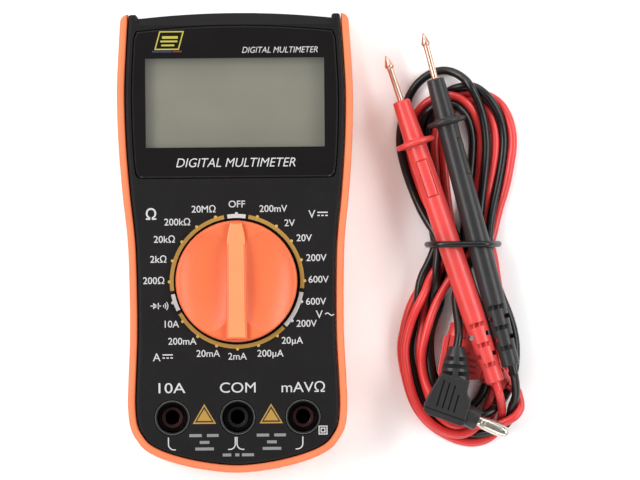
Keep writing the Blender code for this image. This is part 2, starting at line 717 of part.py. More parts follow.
PROBES = {  # the sharp end and the cord end of each probe
    "black": ((55.15, 60.8, 8.3), (80.0, -36.7, 12.2)),
    "red": ((44.1, 54.6, 8.5), (75.5, -41.5, 12.3)),
}
# Each plug: the middle of its capped end, its turn about Z, whether it lies on its other
# side, its tilt, how far its strain relief is bent, and the turn of its pin, in degrees
PLUGS = {
    "black": ((59.9, -52.2, 13.4), -17.0, False, 0.0, 13.0, -8.0),
    "red": ((59.6, -33.5, 4.3), -104.0, True, 3.0, 25.0, 3.0),
}
TAILS = {  # each cord, from its probe or plug to where it goes into the hank
    "red_probe_cord": [(76.6, -45.0, 11.7), (77.6, -48.5, 10.4), (78.2, -51.5, 8.6)],
    "black_probe_cord": [
        (81.2, -40.5, 11.7), (81.9, -44.0, 10.5), (81.8, -47.5, 9.2), (81.0, -50.5, 8.5)],
    "black_plug_cord": [(64.9, -27.5, 12.5), (64.9, -24.5, 11.1), (64.3, -20.5, 8.7)],
}
HANK_OUTLINE = [
    (61.2, 52.3), (68.5, 49.5), (76.5, 44.0), (82.0, 37.5), (83.2, 28.0), (80.9, 17.0),
    (76.6, 5.5), (75.2, -1.0), (77.4, -8.0), (79.4, -20.0), (80.8, -36.0), (83.4, -47.0),
    (80.0, -56.0), (71.0, -60.8), (60.0, -59.2), (50.5, -49.5), (47.0, -36.0), (48.8, -20.0),
    (54.6, -7.0), (57.5, -1.0), (55.5, 6.0), (49.2, 20.0), (46.6, 32.0), (51.0, 46.5),
]


def along_axis(obj, low, high):
    """Places an object so that its Z runs from one point to another."""
    way = Vector(high) - Vector(low)
    obj.rotation_euler = way.to_track_quat("Z", "Y").to_euler()
    obj.location = metres(low)


def probe(colour_name, colour):
    tip, rear = PROBES[colour_name]
    nose = PROBE_LENGTH - TIP_LENGTH
    hole, depth = 1.25, nose - 5
    profile = [
        (0, depth), (hole, depth), (hole, nose), (2.5, nose), (2.75, nose - 0.4),
        (3.0, nose - 12), (5.6, nose - 12), (5.85, nose - 12.8), (5.6, nose - 13.7),
        (3.05, nose - 13.7), (3.35, 18.0), (3.0, 17.7), (2.9, 12.5), (2.3, 12.5), (2.3, 11.3),
        (2.8, 11.3), (2.65, 6.5), (2.1, 6.5), (2.1, 5.3), (2.6, 5.3), (2.45, 0), (0, 0),
    ]
    handle = turned(f"{colour_name}_probe_handle", profile, 14)
    along_axis(handle, rear, tip)
    finish(handle, colour, 0.45)
    shaft = 0.95
    point = [
        (0, PROBE_LENGTH), (0.15, PROBE_LENGTH - 0.1), (1.35, PROBE_LENGTH - 3.2),
        (1.3, PROBE_LENGTH - 3.7), (shaft, PROBE_LENGTH - 4.0), (shaft, depth + GAP),
        (0, depth + GAP),
    ]
    spike = turned(f"{colour_name}_probe_tip", point, 12)
    along_axis(spike, rear, tip)
    finish(spike, (0.8, 0.62, 0.5), 0.3, 1.0)


def plug_frame(colour_name):
    """From the plug's own axes, Y along its body and X towards its pin, to the world's."""
    place, turn, flipped, tilt, _, _ = PLUGS[colour_name]
    frame = Matrix.Translation(metres(place)) @ Matrix.Rotation(math.radians(turn), 4, "Z")
    frame = frame @ Matrix.Rotation(math.radians(tilt), 4, "X")
    if flipped:
        frame = frame @ Matrix.Rotation(math.pi, 4, "Y")
    return frame


def relief_end(colour_name):
    bend = math.radians(PLUGS[colour_name][4])
    length = 8.9
    rise = -1.2 if colour_name == "red" else 0.0
    return Vector((-math.sin(bend) * length, PLUG_LENGTH + math.cos(bend) * length, rise))


def plug(colour_name, colour):
    frame = plug_frame(colour_name)
    outline = [
        (-6.5, 0.7), (-5.9, 0), (5.7, 0), (6.3, 0.7), (6.3, 7.4), (4.6, 9.8), (4.3, 13),
        (-4.3, 13), (-5.9, 5.5)]
    half = PLUG_THICKNESS / 2
    body = prism(f"{colour_name}_plug_body", outline, -half, half)
    round_edges(body, 0.9, 1)
    start_y = PLUG_LENGTH - 0.4
    relief = turned("relief", [
        (0, 9.3), (2.2, 9.3), (2.4, 7.2), (1.9, 7.2), (1.9, 6.2), (2.7, 6.2), (2.85, 4.0),
        (2.2, 4.0), (2.2, 3.0), (3.1, 3.0), (3.3, 0), (0, 0)], 14)
    along_axis(relief, (0, start_y, 0), relief_end(colour_name))
    join(body, relief)
    outlet_turn = math.radians(PLUGS[colour_name][5])
    outlet_low = Vector((3.5, 3.6, 0))
    outlet_way = Vector((math.cos(outlet_turn), math.sin(outlet_turn), 0))
    collar = turned("collar", [(0, 6.6), (3.3, 6.6), (3.3, 0), (0, 0)], 16)
    along_axis(collar, outlet_low, outlet_low + outlet_way)
    join(body, collar)
    bore = turned("pin_bore", [(0, 8), (PIN_RADIUS + GAP, 8), (PIN_RADIUS + GAP, 3.6), (0, 3.6)], 16)
    along_axis(bore, outlet_low, outlet_low + outlet_way)
    cut(body, bore)
    pin = turned(f"{colour_name}_plug_pin", [
        (0, 16.2), (1.2, 16.2), (1.8, 15.4), (PIN_RADIUS, 13.5), (PIN_RADIUS, 9.0), (1.8, 7.0),
        (1.8, 3.9), (0, 3.9)], 14)
    along_axis(pin, outlet_low, outlet_low + outlet_way)
    bpy.context.view_layer.update()
    for obj in (body, relief, collar, bore, pin):
        obj.matrix_world = frame @ obj.matrix_world
    finish(body, colour, 0.5)
    finish(pin, (0.75, 0.73, 0.68), 0.25, 1.0)


def lead_hank():
    outline = [tuple(p) for p in smooth_path(HANK_OUTLINE, 2, closed=True)]
    hank = prism("lead_hank", outline, 0, HANK_HEIGHT)
    cut(hank, box("upper_step", (40, 9, HANK_UPPER_HEIGHT), (90, 60, 12)))
    cut(hank, box("tie_groove", (50, TIE_Y - 1.5, -1), (82, TIE_Y + 1.5, 2.3)))
    bay = [
        (57.0, -28.0), (60.0, -22.5), (61.5, -12.5), (72.5, -12.5), (72.5, -27.0), (76.0, -31.0),
        (76.5, -45.5), (60.5, -43.2), (57.2, -40.0)]
    cut(hank, prism("plug_bay", bay, -1, 12))
    channel = [(70.0, -31.0), (77.0, -32.5), (82.6, -39.5), (80.0, -46.6), (71.0, -42.5)]
    cut(hank, prism("relief_channel", channel, 2.6, 12))
    finish(hank, (0.1, 0.02, 0.02), 0.5)


def lead_tie():
    """A cord round the bundle and over the two handles."""
    left, right, low, high = 56.1, 76.6, TIE_RADIUS + 0.05, 15.1
    route = [
        (left + 1.5, low), (66.0, low), (right - 1.5, low), (right, 3.0), (right - 0.1, 8.0),
        (74.3, 13.6), (70.4, high), (62.0, high), (58.2, 13.4), (left + 0.1, 8.0), (left, 3.0)]
    ring = smooth_path(route, 2, closed=True)
    tie = tube("lead_tie", [(p.x, TIE_Y, max(p.y, low)) for p in ring], TIE_RADIUS, cyclic=True)
    finish(tie, BLACK, 0.6)


def cords():
    starts = {}
    for colour_name in ("red", "black"):
        tip, rear = (Vector(p) for p in PROBES[colour_name])
        back = (rear - tip).normalized()
        starts[f"{colour_name}_probe_cord"] = rear + back * GAP
    frame = plug_frame("black")
    end = relief_end("black")
    way = (end - Vector((0, PLUG_LENGTH, 0))).normalized()
    starts["black_plug_cord"] = (frame @ ((end + way * 0.8) * MM)) / MM
    for name, route in TAILS.items():
        path = smooth_path([tuple(starts[name])] + route, 2)
        colour = RED if name.startswith("red") else BLACK
        finish(tube(name, [tuple(p) for p in path], CORD_RADIUS), colour, 0.5)


def test_leads():
    for colour_name, colour in (("red", RED), ("black", BLACK)):
        probe(colour_name, colour)
        plug(colour_name, colour)
    lead_hank()
    lead_tie()
    cords()


front_cover()
rear_cover()
bumper()
case_screws()
display_lens()
lcd()
circuit_board()
board_parts()
selector()
jacks()
battery_bay()
tilt_stand()
test_leads()
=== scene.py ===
"""A digital multimeter and its test leads: the looks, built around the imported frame."""
import math

import bmesh
import bpy
import numpy as np
from mathutils import Matrix, Vector


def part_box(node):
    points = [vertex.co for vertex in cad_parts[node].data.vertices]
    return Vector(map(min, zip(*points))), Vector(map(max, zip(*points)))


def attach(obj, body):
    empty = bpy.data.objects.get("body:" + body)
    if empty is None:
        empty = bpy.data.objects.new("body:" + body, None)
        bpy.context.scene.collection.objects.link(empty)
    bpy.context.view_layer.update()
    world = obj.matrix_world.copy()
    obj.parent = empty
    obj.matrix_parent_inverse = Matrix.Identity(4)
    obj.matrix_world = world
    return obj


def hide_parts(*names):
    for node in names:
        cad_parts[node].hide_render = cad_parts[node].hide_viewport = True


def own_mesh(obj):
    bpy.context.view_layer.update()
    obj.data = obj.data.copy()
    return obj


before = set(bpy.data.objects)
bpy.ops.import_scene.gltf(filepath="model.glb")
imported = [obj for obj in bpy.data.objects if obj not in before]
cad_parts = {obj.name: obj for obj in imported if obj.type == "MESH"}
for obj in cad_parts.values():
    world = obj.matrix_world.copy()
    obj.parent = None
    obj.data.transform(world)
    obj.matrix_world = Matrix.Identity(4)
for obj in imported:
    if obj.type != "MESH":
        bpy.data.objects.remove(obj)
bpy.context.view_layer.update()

# All sizes below are in millimetres, in the frame's axes. MM turns them into metres.
MM = 0.001
GAP = 0.3
SAME_POINT = 1e-5

# Case
HALF_LENGTH = 66.95
FACE_Z, SPLIT_Z, CEILING_Z = 27.0, 12.9, 24.4
WALL, BUMPER_WIDTH = 1.8, 2.25
BUMPER_LOW, BUMPER_HIGH = 0.8, 25.8
TOP_ARCH_RADIUS = 250.0
EAR_INNER, EAR_TOP = 28.3, 66.6
SHOULDER_Y, SHOULDER_DROP = 63.6, math.atan2(3.5, 4.1)
SIDE = [
    (33.3, 64.3), (33.9, 55.0), (34.4, 43.0), (34.0, 28.0), (32.9, 13.5), (31.55, 0.0),
    (31.15, -16.0), (31.2, -28.0), (31.75, -40.0), (31.95, -47.5), (31.3, -53.5),
    (29.4, -57.4), (26.4, -60.6), (20.4, -63.4), (11.0, -65.8), (0.0, -HALF_LENGTH),
]
OUTLINE_STEPS = 8
FACE_ROUNDING = 0.9
BUMPER_CORNER, BUMPER_END_Y = 2.3, EAR_TOP + 0.15

# Display
LENS_INSET, LENS_Y, LENS_Z = 4.35, (19.0, 63.2), (26.0, 27.3)
WINDOW_CENTRE_Y, WINDOW_HALF = 40.8, (26.03, 12.98)
HOLE_HALF = (27.0, 14.0)

# Selector
KNOB_Y, KNOB_RADIUS, KNOB_RECESS = -11.2, 17.7, 18.35
KNOB_Z, BAR_TOP, HUB_RADIUS = (25.3, 30.2), 32.0, 9.8
KNOB_ROUNDING, HUB_LOW, HUB_HOLLOW = 1.0, 17.9, 8.2
SCOOP_RADII, SCOOP_X, SCOOP_Z = (10.2, 17.4, 5.2), 8.2, 33.0
GRIP_SIDE = [(3.15, -16.9), (2.95, -6), (2.9, 6), (2.75, 12.3), (1.8, 17.3)]
POINTER_TIP_Y, POINTER_HALF, POINTER_LENGTH = 14.2, 0.6, 1.0
POSITIONS = 20

# Jacks
JACK_Y, JACK_PITCH = -50.8, 19.05
CUP_RADIUS, WELL_RADIUS, WELL_FLOOR_Z = 5.05, 4.45, 18.5
SLEEVE_RADIUS, SLEEVE_TOP, SLEEVE_HOLE = 3.3, 22.4, 2.2
JACK_LOW, FLANGE_RADIUS, FLANGE_Z = 16.5, 6.3, (CEILING_Z - 1.5, CEILING_Z - 0.3)

# Test leads
CORD_RADIUS = 1.25
CORD = 2 * CORD_RADIUS
PROBE_LENGTH, TIP_LENGTH = 101.0, 14.0
PROBES = {  # the sharp end and the cord end of each probe
    "red": ((44.1, 54.6, 8.5), (75.5, -41.5, 12.3)),
    "black": ((55.15, 60.8, 8.3), (80.0, -36.7, 12.2)),
}
PLUGS = {  # place, turn, flipped, tilt, bend of the relief, turn of the pin
    "red": ((59.6, -33.5, 4.3), -104, True, 3, 25, 3),
    "black": ((59.9, -52.2, 13.4), -17, False, 0, 13, -8),
}
PLUG_THICKNESS, PLUG_LENGTH, RELIEF_LENGTH, RELIEF_RISE = 7.8, 13.0, 8.9, -1.2
OUTLET, COLLAR_LENGTH, COLLAR_RADIUS, PIN_END = Vector((3.5, 3.6, 0)), 6.6, 3.3, 16.2
TIE_Y, TIE_RADIUS = -1.0, 0.9
TIE_ROUTE = [
    (57.6, 0.95), (66.0, 0.95), (75.1, 0.95), (76.6, 3.0), (76.5, 8.0), (74.3, 13.6),
    (70.4, 15.1), (62.0, 15.1), (58.2, 13.4), (56.2, 8.0), (56.1, 3.0),
]


# ---------------------------------------------------------------- materials

# How many features of the clouds and of the fine roughness there are in a metre, the depth of
# the grain and the width of a worn edge in metres
CLOUDS, FINE, GRAIN_DEPTH, WORN_WIDTH = 90.0, 900.0, 0.00002, 0.0003


def link(tree, source, target):
    tree.links.new(source, target)


def noise(tree, place, scale, detail=3.0):
    node = tree.nodes.new("ShaderNodeTexNoise")
    node.inputs["Scale"].default_value = scale
    node.inputs["Detail"].default_value = detail
    link(tree, place, node.inputs["Vector"])
    return node.outputs["Fac"]


def ranged(tree, value, low, high, from_low=0.3, from_high=0.7):
    node = tree.nodes.new("ShaderNodeMapRange")
    link(tree, value, node.inputs["Value"])
    for name, number in zip(
            ("From Min", "From Max", "To Min", "To Max"), (from_low, from_high, low, high)):
        node.inputs[name].default_value = number
    return node.outputs["Result"]


def mixed(tree, factor, first, second):
    """A colour between two colours or a socket and a colour."""
    node = tree.nodes.new("ShaderNodeMix")
    node.data_type = "RGBA"
    link(tree, factor, node.inputs[0])
    for index, colour in ((6, first), (7, second)):
        if isinstance(colour, bpy.types.NodeSocket):
            link(tree, colour, node.inputs[index])
        else:
            node.inputs[index].default_value = (*colour, 1)
    return node.outputs[2]


def edges(tree, strength):
    """Finds the outer edges, where a finish wears first."""
    shape = tree.nodes.new("ShaderNodeNewGeometry").outputs
    rounded_off = tree.nodes.new("ShaderNodeBevel")
    rounded_off.samples = 4
    rounded_off.inputs["Radius"].default_value = WORN_WIDTH
    turn = tree.nodes.new("ShaderNodeVectorMath")
    turn.operation = "DOT_PRODUCT"
    link(tree, rounded_off.outputs["Normal"], turn.inputs[0])
    link(tree, shape["Normal"], turn.inputs[1])
    both = tree.nodes.new("ShaderNodeMath")
    both.operation = "MULTIPLY"
    link(tree, ranged(tree, turn.outputs["Value"], strength, 0, 0.8, 0.985), both.inputs[0])
    link(tree, ranged(tree, shape["Pointiness"], 0, 1, 0.49, 0.52), both.inputs[1])
    return both.outputs[0]


def surface(
        name, colour, roughness=0.45, metallic=0.0, grain=0.15, grain_scale=3500.0,
        spread=0.06, wear=0.35, worn=None, shine=0.5, alpha=1.0):
    """A procedural finish: cloudy colour and roughness, a fine moulded grain and worn edges."""
    made = bpy.data.materials.new(name)
    made.use_nodes = True
    tree = made.node_tree
    shader = tree.nodes["Principled BSDF"]
    place = tree.nodes.new("ShaderNodeTexCoord").outputs["Object"]
    dark = tuple(c * (1 - spread) for c in colour)
    light = tuple(min(1, c * (1 + spread) + spread * 0.01) for c in colour)
    base = mixed(tree, ranged(tree, noise(tree, place, CLOUDS), 0, 1), dark, light)
    worn = worn or tuple(min(1, c * 1.25 + 0.03) for c in colour)
    link(tree, mixed(tree, edges(tree, wear), base, worn), shader.inputs["Base Color"])
    fine = noise(tree, place, FINE, 2.0)
    link(
        tree, ranged(tree, fine, roughness * 0.88, min(1.0, roughness * 1.12)),
        shader.inputs["Roughness"])
    shader.inputs["Metallic"].default_value = metallic
    shader.inputs["Specular IOR Level"].default_value = shine
    shader.inputs["Alpha"].default_value = alpha
    if grain:
        bump = tree.nodes.new("ShaderNodeBump")
        bump.inputs["Strength"].default_value = grain
        bump.inputs["Distance"].default_value = GRAIN_DEPTH
        link(tree, noise(tree, place, grain_scale, 4.0), bump.inputs["Height"])
        link(tree, bump.outputs["Normal"], shader.inputs["Normal"])
    return made


LOOKS = {
    "case": surface("case_plastic", (0.0094, 0.0086, 0.0088), 0.5, grain=0.35, grain_scale=2600,
                    shine=0.1),
    "rear": surface("rear_plastic", (0.016, 0.016, 0.017), 0.6, grain=0.5, grain_scale=1800,
                    shine=0.3),
    "gloss": surface("lens_border", (0.0068, 0.0060, 0.0060), 0.2, grain=0.02, wear=0.6,
                     worn=(0.12, 0.115, 0.11), shine=0.2),
    "pane": surface("window_pane", (0.9, 0.92, 0.9), 0.08, grain=0.0, wear=0.0, alpha=0.03),
    "orange": surface("orange_plastic", (0.68, 0.128, 0.045), 0.42, grain=0.15, spread=0.04,
                      worn=(0.8, 0.2, 0.1), shine=0.35),
    # A lighter copy of the orange for the flat top of the grip bar: a painted highlight
    "grip": surface("orange_painted_highlight", (0.70, 0.235, 0.098), 0.42, grain=0.15, spread=0.04,
                    worn=(0.8, 0.3, 0.14), shine=0.35),
    "rubber": surface("orange_rubber", (0.72, 0.178, 0.072), 0.55, grain=0.3, spread=0.04,
                      worn=(0.8, 0.22, 0.12), shine=0.35),
    "lcd": surface("lcd_face", (0.120, 0.113, 0.080), 0.4, grain=0.05, spread=0.03, wear=0.0,
                   shine=0.2),
    "well": surface("well_plastic", (0.006, 0.006, 0.006), 0.4, worn=(0.03, 0.03, 0.03)),
    # A lighter grey for a thin ring on each jack cup's rim: a painted glint
    "rim": surface("jack_rim_painted_glint", (0.06, 0.057, 0.055), 0.35, worn=(0.16, 0.155, 0.15)),
    "sleeve_red": surface("sleeve_red", (0.035, 0.006, 0.005), 0.3, worn=(0.1, 0.04, 0.035)),
    "sleeve_black": surface("sleeve_black", (0.010, 0.010, 0.011), 0.3, worn=(0.09, 0.09, 0.09)),
    **{f"{name}_ink": surface(f"{name}_ink", colour, roughness, grain=0.1, wear=0.0)
       for name, colour, roughness in (
           ("white", (0.45, 0.45, 0.445), 0.6), ("grey", (0.17, 0.17, 0.17), 0.6),
           ("gold", (0.33, 0.185, 0.03), 0.5), ("dot", (0.46, 0.30, 0.075), 0.4),
           ("dark", (0.012, 0.008, 0.004), 0.5), ("yellow", (0.36, 0.31, 0.035), 0.5),
           ("blue", (0.006, 0.014, 0.05), 0.5), ("red", (0.13, 0.008, 0.014), 0.5))},
    "red_lead": surface("red_lead_plastic", (0.56, 0.044, 0.040), 0.36, spread=0.08,
                        worn=(0.6, 0.08, 0.07)),
    "black_lead": surface("black_lead_plastic", (0.0215, 0.0205, 0.021), 0.36, grain=0.2,
                          worn=(0.03, 0.03, 0.03), shine=0.3),
    "red_cord": surface("red_cord_pvc", (0.60, 0.036, 0.034), 0.33, spread=0.1, grain=0.1),
    "black_cord": surface("black_cord_pvc", (0.0042, 0.004, 0.004), 0.33, grain=0.1, shine=0.4),
    "tip": surface("tip_metal", (0.62, 0.40, 0.32), 0.32, 1.0, grain=0.2, spread=0.15),
    "nickel": surface("nickel", (0.62, 0.58, 0.50), 0.3, 1.0, grain=0.1, spread=0.1),
    # A darkened copy of the nickel: painted shade on the sockets down in the jack bores
    "socket": surface("nickel_painted_shade", (0.10, 0.09, 0.075), 0.5, 1.0, grain=0.1, spread=0.1),
    "steel": surface("steel", (0.5, 0.5, 0.52), 0.32, 1.0, grain=0.2, spread=0.12),
    "brass": surface("brass", (0.75, 0.52, 0.2), 0.28, 1.0, grain=0.15, spread=0.15),
    "copper": surface("copper", (0.8, 0.4, 0.22), 0.3, 1.0, grain=0.15, spread=0.12),
    "board": surface("board_green", (0.02, 0.14, 0.05), 0.4, grain=0.25, spread=0.2),
    "battery": surface("battery_case", (0.03, 0.05, 0.16), 0.3, grain=0.1, spread=0.15),
    "white_plastic": surface("white_plastic", (0.75, 0.75, 0.72), 0.5),
    "zebra": surface("zebra_rubber", (0.25, 0.2, 0.2), 0.7, spread=0.3),
    "fuse_glass": surface("fuse_glass", (0.7, 0.75, 0.72), 0.1, grain=0.0, alpha=0.45),
    "floor": surface("floor", (0.985, 0.99, 0.99), 0.9, grain=0.05, spread=0.004, wear=0.0),
}


# ---------------------------------------------------------------- mesh helpers

def metres(values):
    return Vector(values) * MM


def new_object(name, shape):
    """An object from a bmesh made in millimetres."""
    bmesh.ops.scale(shape, vec=(MM, MM, MM), verts=shape.verts)
    bmesh.ops.recalc_face_normals(shape, faces=shape.faces)
    data = bpy.data.meshes.new(name)
    shape.to_mesh(data)
    shape.free()
    obj = bpy.data.objects.new(name, data)
    bpy.context.scene.collection.objects.link(obj)
    return obj


def baked(obj):
    """Applies an object's modifiers."""
    bpy.context.view_layer.update()
    graph = bpy.context.evaluated_depsgraph_get()
    old = obj.data
    obj.data = bpy.data.meshes.new_from_object(obj.evaluated_get(graph))
    obj.modifiers.clear()
    bpy.data.meshes.remove(old)
    return obj


def carve(obj, *others, operation="DIFFERENCE"):
    for other in others:
        modifier = obj.modifiers.new("carve", "BOOLEAN")
        modifier.object = other
        modifier.operation = operation
        modifier.solver = "EXACT"
        baked(obj)
        bpy.data.objects.remove(other)
    return obj


def soften(obj, width, segments=2, angle=35):
    modifier = obj.modifiers.new("soften", "BEVEL")
    modifier.width = width * MM
    modifier.segments = segments
    modifier.limit_method = "ANGLE"
    modifier.angle_limit = math.radians(angle)
    return baked(obj)


def dress(obj, look, body, cad=(), angle=35):
    """Finish, shading, the body that it rides on, and the CAD nodes that it stands for."""
    obj.data.materials.clear()
    obj.data.materials.append(LOOKS[look])
    obj.data.shade_smooth()
    obj.data.set_sharp_from_angle(angle=math.radians(angle))
    flat = obj.modifiers.new("flat_faces", "WEIGHTED_NORMAL")
    flat.keep_sharp = True
    baked(obj)
    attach(obj, body)
    if cad:
        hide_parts(*cad)
    return obj


def add_rings(shape, rings, closed=False):
    """Joins rings of points, all with as many points, into a skin with closed ends."""
    loops = [[shape.verts.new(p) for p in ring] for ring in rings]
    count = len(loops[0])
    pairs = list(zip(loops, loops[1:])) + ([(loops[-1], loops[0])] if closed else [])
    for low, high in pairs:
        for i in range(count):
            j = (i + 1) % count
            shape.faces.new((low[i], low[j], high[j], high[i]))
    if not closed:
        shape.faces.new(loops[0][::-1])
        shape.faces.new(loops[-1])
    return shape


def prism(name, outline, low, high):
    shape = bmesh.new()
    add_rings(shape, [[(x, y, z) for x, y in outline] for z in (low, high)])
    return new_object(name, shape)


def block(name, low, high):
    (x0, y0, z0), (x1, y1, z1) = low, high
    return prism(name, [(x0, y0), (x1, y0), (x1, y1), (x0, y1)], z0, z1)


def circle(centre, radius, count=64):
    return [
        (centre[0] + radius * math.cos(2 * math.pi * i / count),
         centre[1] + radius * math.sin(2 * math.pi * i / count)) for i in range(count)]


def drum(name, centre, radius, low, high, count=64):
    return prism(name, circle(centre, radius, count), low, high)


def turned(name, profile, frame_matrix=Matrix.Identity(4), steps=48, closed=False):
    """A profile of (radius, height) turned round the frame's Z."""
    shape = bmesh.new()
    loops = []
    for i in range(steps):
        angle = 2 * math.pi * i / steps
        loops.append([
            shape.verts.new(frame_matrix @ Vector((r * math.cos(angle), r * math.sin(angle), z)))
            for r, z in profile])
    count = len(profile)
    for a, b in zip(loops, loops[1:] + loops[:1]):
        for i in range(count if closed else count - 1):
            shape.faces.new((a[i], b[i], b[(i + 1) % count], a[(i + 1) % count]))
    bmesh.ops.remove_doubles(shape, verts=shape.verts[:], dist=SAME_POINT)
    return new_object(name, shape)


def add_block(shape, low, high):
    size = Vector(high) - Vector(low)
    middle = (Vector(high) + Vector(low)) / 2
    matrix = Matrix.Translation(middle) @ Matrix.Diagonal((*size, 1))
    bmesh.ops.create_cube(shape, size=1, matrix=matrix)


def spline(points, steps, closed=False):
    """Points on a Catmull-Rom curve through the given ones."""
    known = [Vector(p) for p in points]
    count = len(known)
    path = []
    for i in range(count if closed else count - 1):
        if closed:
            a, b, c, d = (known[(i + shift) % count] for shift in (-1, 0, 1, 2))
        else:
            b, c = known[i], known[i + 1]
            a = known[i - 1] if i else 2 * b - c
            d = known[i + 2] if i + 2 < count else 2 * c - b
        for step in range(steps):
            t = step / steps
            path.append(
                b + (c - a) * (t / 2) + (2 * a - 5 * b + 4 * c - d) * (t * t / 2)
                + (3 * b - a - 3 * c + d) * (t ** 3 / 2))
    return path if closed else path + [known[-1]]


# ---------------------------------------------------------------- outlines of the case

def rim_path(inset):
    """The case outline moved inwards, down the right side, round the bottom and up the left."""
    left = [(-x, y) for x, y in reversed(SIDE[:-1])]
    path = spline(SIDE + left, OUTLINE_STEPS)
    moved = []
    for i, point in enumerate(path):
        along = path[min(i + 1, len(path) - 1)] - path[max(i - 1, 0)]
        moved.append(point + Vector((along.y, -along.x)).normalized() * inset)
    return moved


def arch(top_inset, half_width, count=24):
    points = []
    for i in range(count + 1):
        x = -half_width + 2 * half_width * i / count
        points.append((x, HALF_LENGTH - top_inset - x * x / (2 * TOP_ARCH_RADIUS)))
    return points


def corner_arc(centre, radius, start, end, count=5):
    return [
        (centre[0] + radius * math.cos(math.radians(start + (end - start) * i / count)),
         centre[1] + radius * math.sin(math.radians(start + (end - start) * i / count)))
        for i in range(count + 1)]


def cover_outline(extra=0.0):
    """Inside the bumper, with an arched top edge between two rounded ears."""
    path = rim_path(BUMPER_WIDTH + GAP + extra)
    side, inner, top, bend = path[0].x, EAR_INNER + extra, EAR_TOP - extra, 0.75 - 0.6 * extra
    ear = corner_arc((inner + bend, top - bend), bend, 180, 90)
    ear += corner_arc((side - bend, top - bend), bend, 90, 0)
    left_ear = [(-x, y) for x, y in reversed(ear)]
    return [tuple(p) for p in path] + left_ear + arch(extra, EAR_INNER + extra) + ear


def lens_outline(grow=0.0):
    """The window plate: it follows the sides of the case and the arched top."""
    corner = 2.0
    low, high = LENS_Y[0] - grow, LENS_Y[1] + grow
    arch_drop = EAR_INNER ** 2 / (2 * TOP_ARCH_RADIUS)
    low_limit, high_limit = LENS_Y[0] + corner + 1, LENS_Y[1] - arch_drop - 1
    right = [
        tuple(moved) for moved, plain in zip(rim_path(LENS_INSET - grow), rim_path(LENS_INSET))
        if plain.x > 0 and low_limit < plain.y < high_limit]
    side = right[-1][0] - 0.3
    right += corner_arc((side - corner, low + corner), corner, 0, -90, 6)
    left = [(-x, y) for x, y in reversed(right)]
    return right + left + arch(HALF_LENGTH - high, right[0][0] - 0.8)


def inset_rings(outline_at, steps):
    """Rings of an outline at several insets and heights, for rounded rims."""
    return [[(x, y, z) for x, y in outline_at(inset)] for inset, z in steps]


def rounded(radius, z, count=4):
    """(inset, height) steps of a quarter-round rim that rises to height z."""
    steps = []
    for i in range(count + 1):
        angle = math.pi / 2 * i / count
        rise = radius * (1 - math.sin(angle))
        steps.append((radius * (1 - math.cos(angle)), z - rise))
    return steps


# ---------------------------------------------------------------- case

def cavity_outline():
    path = [tuple(p) for p in rim_path(BUMPER_WIDTH + GAP + WALL) if p.y < 60]
    return path + arch(2 * WALL, path[0][0], 12)


def front_cover():
    steps = [(0, SPLIT_Z + GAP)] + rounded(FACE_ROUNDING, FACE_Z)
    cover = new_object("face_shell", add_rings(bmesh.new(), inset_rings(cover_outline, steps)))
    shoulder = block("shoulder", (-EAR_INNER - 0.05, -1, 0), (EAR_INNER + 0.05, 12, 6))
    shoulder.rotation_euler = (-SHOULDER_DROP, 0, 0)
    shoulder.location = metres((0, SHOULDER_Y, FACE_Z))
    window_x, window_y = HOLE_HALF
    cutters = [
        prism("cavity", cavity_outline(), SPLIT_Z - 1, CEILING_Z),
        shoulder,
        prism("lens_seat", lens_outline(GAP), LENS_Z[0] - GAP, FACE_Z + 1),
        block("window", (-window_x, WINDOW_CENTRE_Y - window_y, CEILING_Z - 1),
              (window_x, WINDOW_CENTRE_Y + window_y, FACE_Z + 1)),
        drum("knob_seat", (0, KNOB_Y), KNOB_RECESS, KNOB_Z[0] - GAP, FACE_Z + 1, 128),
        drum("hub_hole", (0, KNOB_Y), HUB_RADIUS + 0.4, CEILING_Z - 1, FACE_Z, 64),
    ]
    for side in (-1, 0, 1):
        cutters.append(drum(
            "jack_hole", (side * JACK_PITCH, JACK_Y), CUP_RADIUS + GAP, CEILING_Z - 1,
            FACE_Z + 1))
    carve(cover, *cutters)
    soften(cover, 0.14)
    dress(cover, "case", "case", ["front_cover"])


def bumper():
    """A band of rounded section along the rim, with a side groove and rounded upper ends."""
    low, high = BUMPER_LOW, BUMPER_HIGH
    section = [  # share of the width from the outer side, height
        (0.12, low), (0, low + 0.3), (0, SPLIT_Z - 0.3), (0.09, SPLIT_Z - 0.12),
        (0.09, SPLIT_Z + 0.12), (0, SPLIT_Z + 0.3), (0, high - 1.0), (0.03, high - 0.6),
        (0.11, high - 0.28), (0.24, high - 0.08), (0.4, high), (0.8, high), (0.93, high - 0.1),
        (1, high - 0.35), (1, low)]
    outer, inner = rim_path(0), rim_path(BUMPER_WIDTH)
    corner = BUMPER_CORNER
    rise = BUMPER_END_Y - corner - outer[0].y
    edges = []
    for degrees in (90, 72, 54, 36, 18, 0):
        angle = math.radians(degrees)
        up = Vector((0, rise + corner * math.sin(angle)))
        draw_in = Vector((corner * (1 - math.cos(angle)), 0))
        edges.append((outer[0] - draw_in + up, inner[0] + up))
    left = [(Vector((-a.x, a.y)), Vector((-b.x, b.y))) for a, b in reversed(edges)]
    edges = edges + list(zip(outer, inner))[1:-1] + left
    rings = []
    for outside, inside in edges:
        rings.append([(*outside.lerp(inside, share), z) for share, z in section])
    band = new_object("rubber_bumper", add_rings(bmesh.new(), rings))
    dress(band, "rubber", "case", ["bumper"], 50)


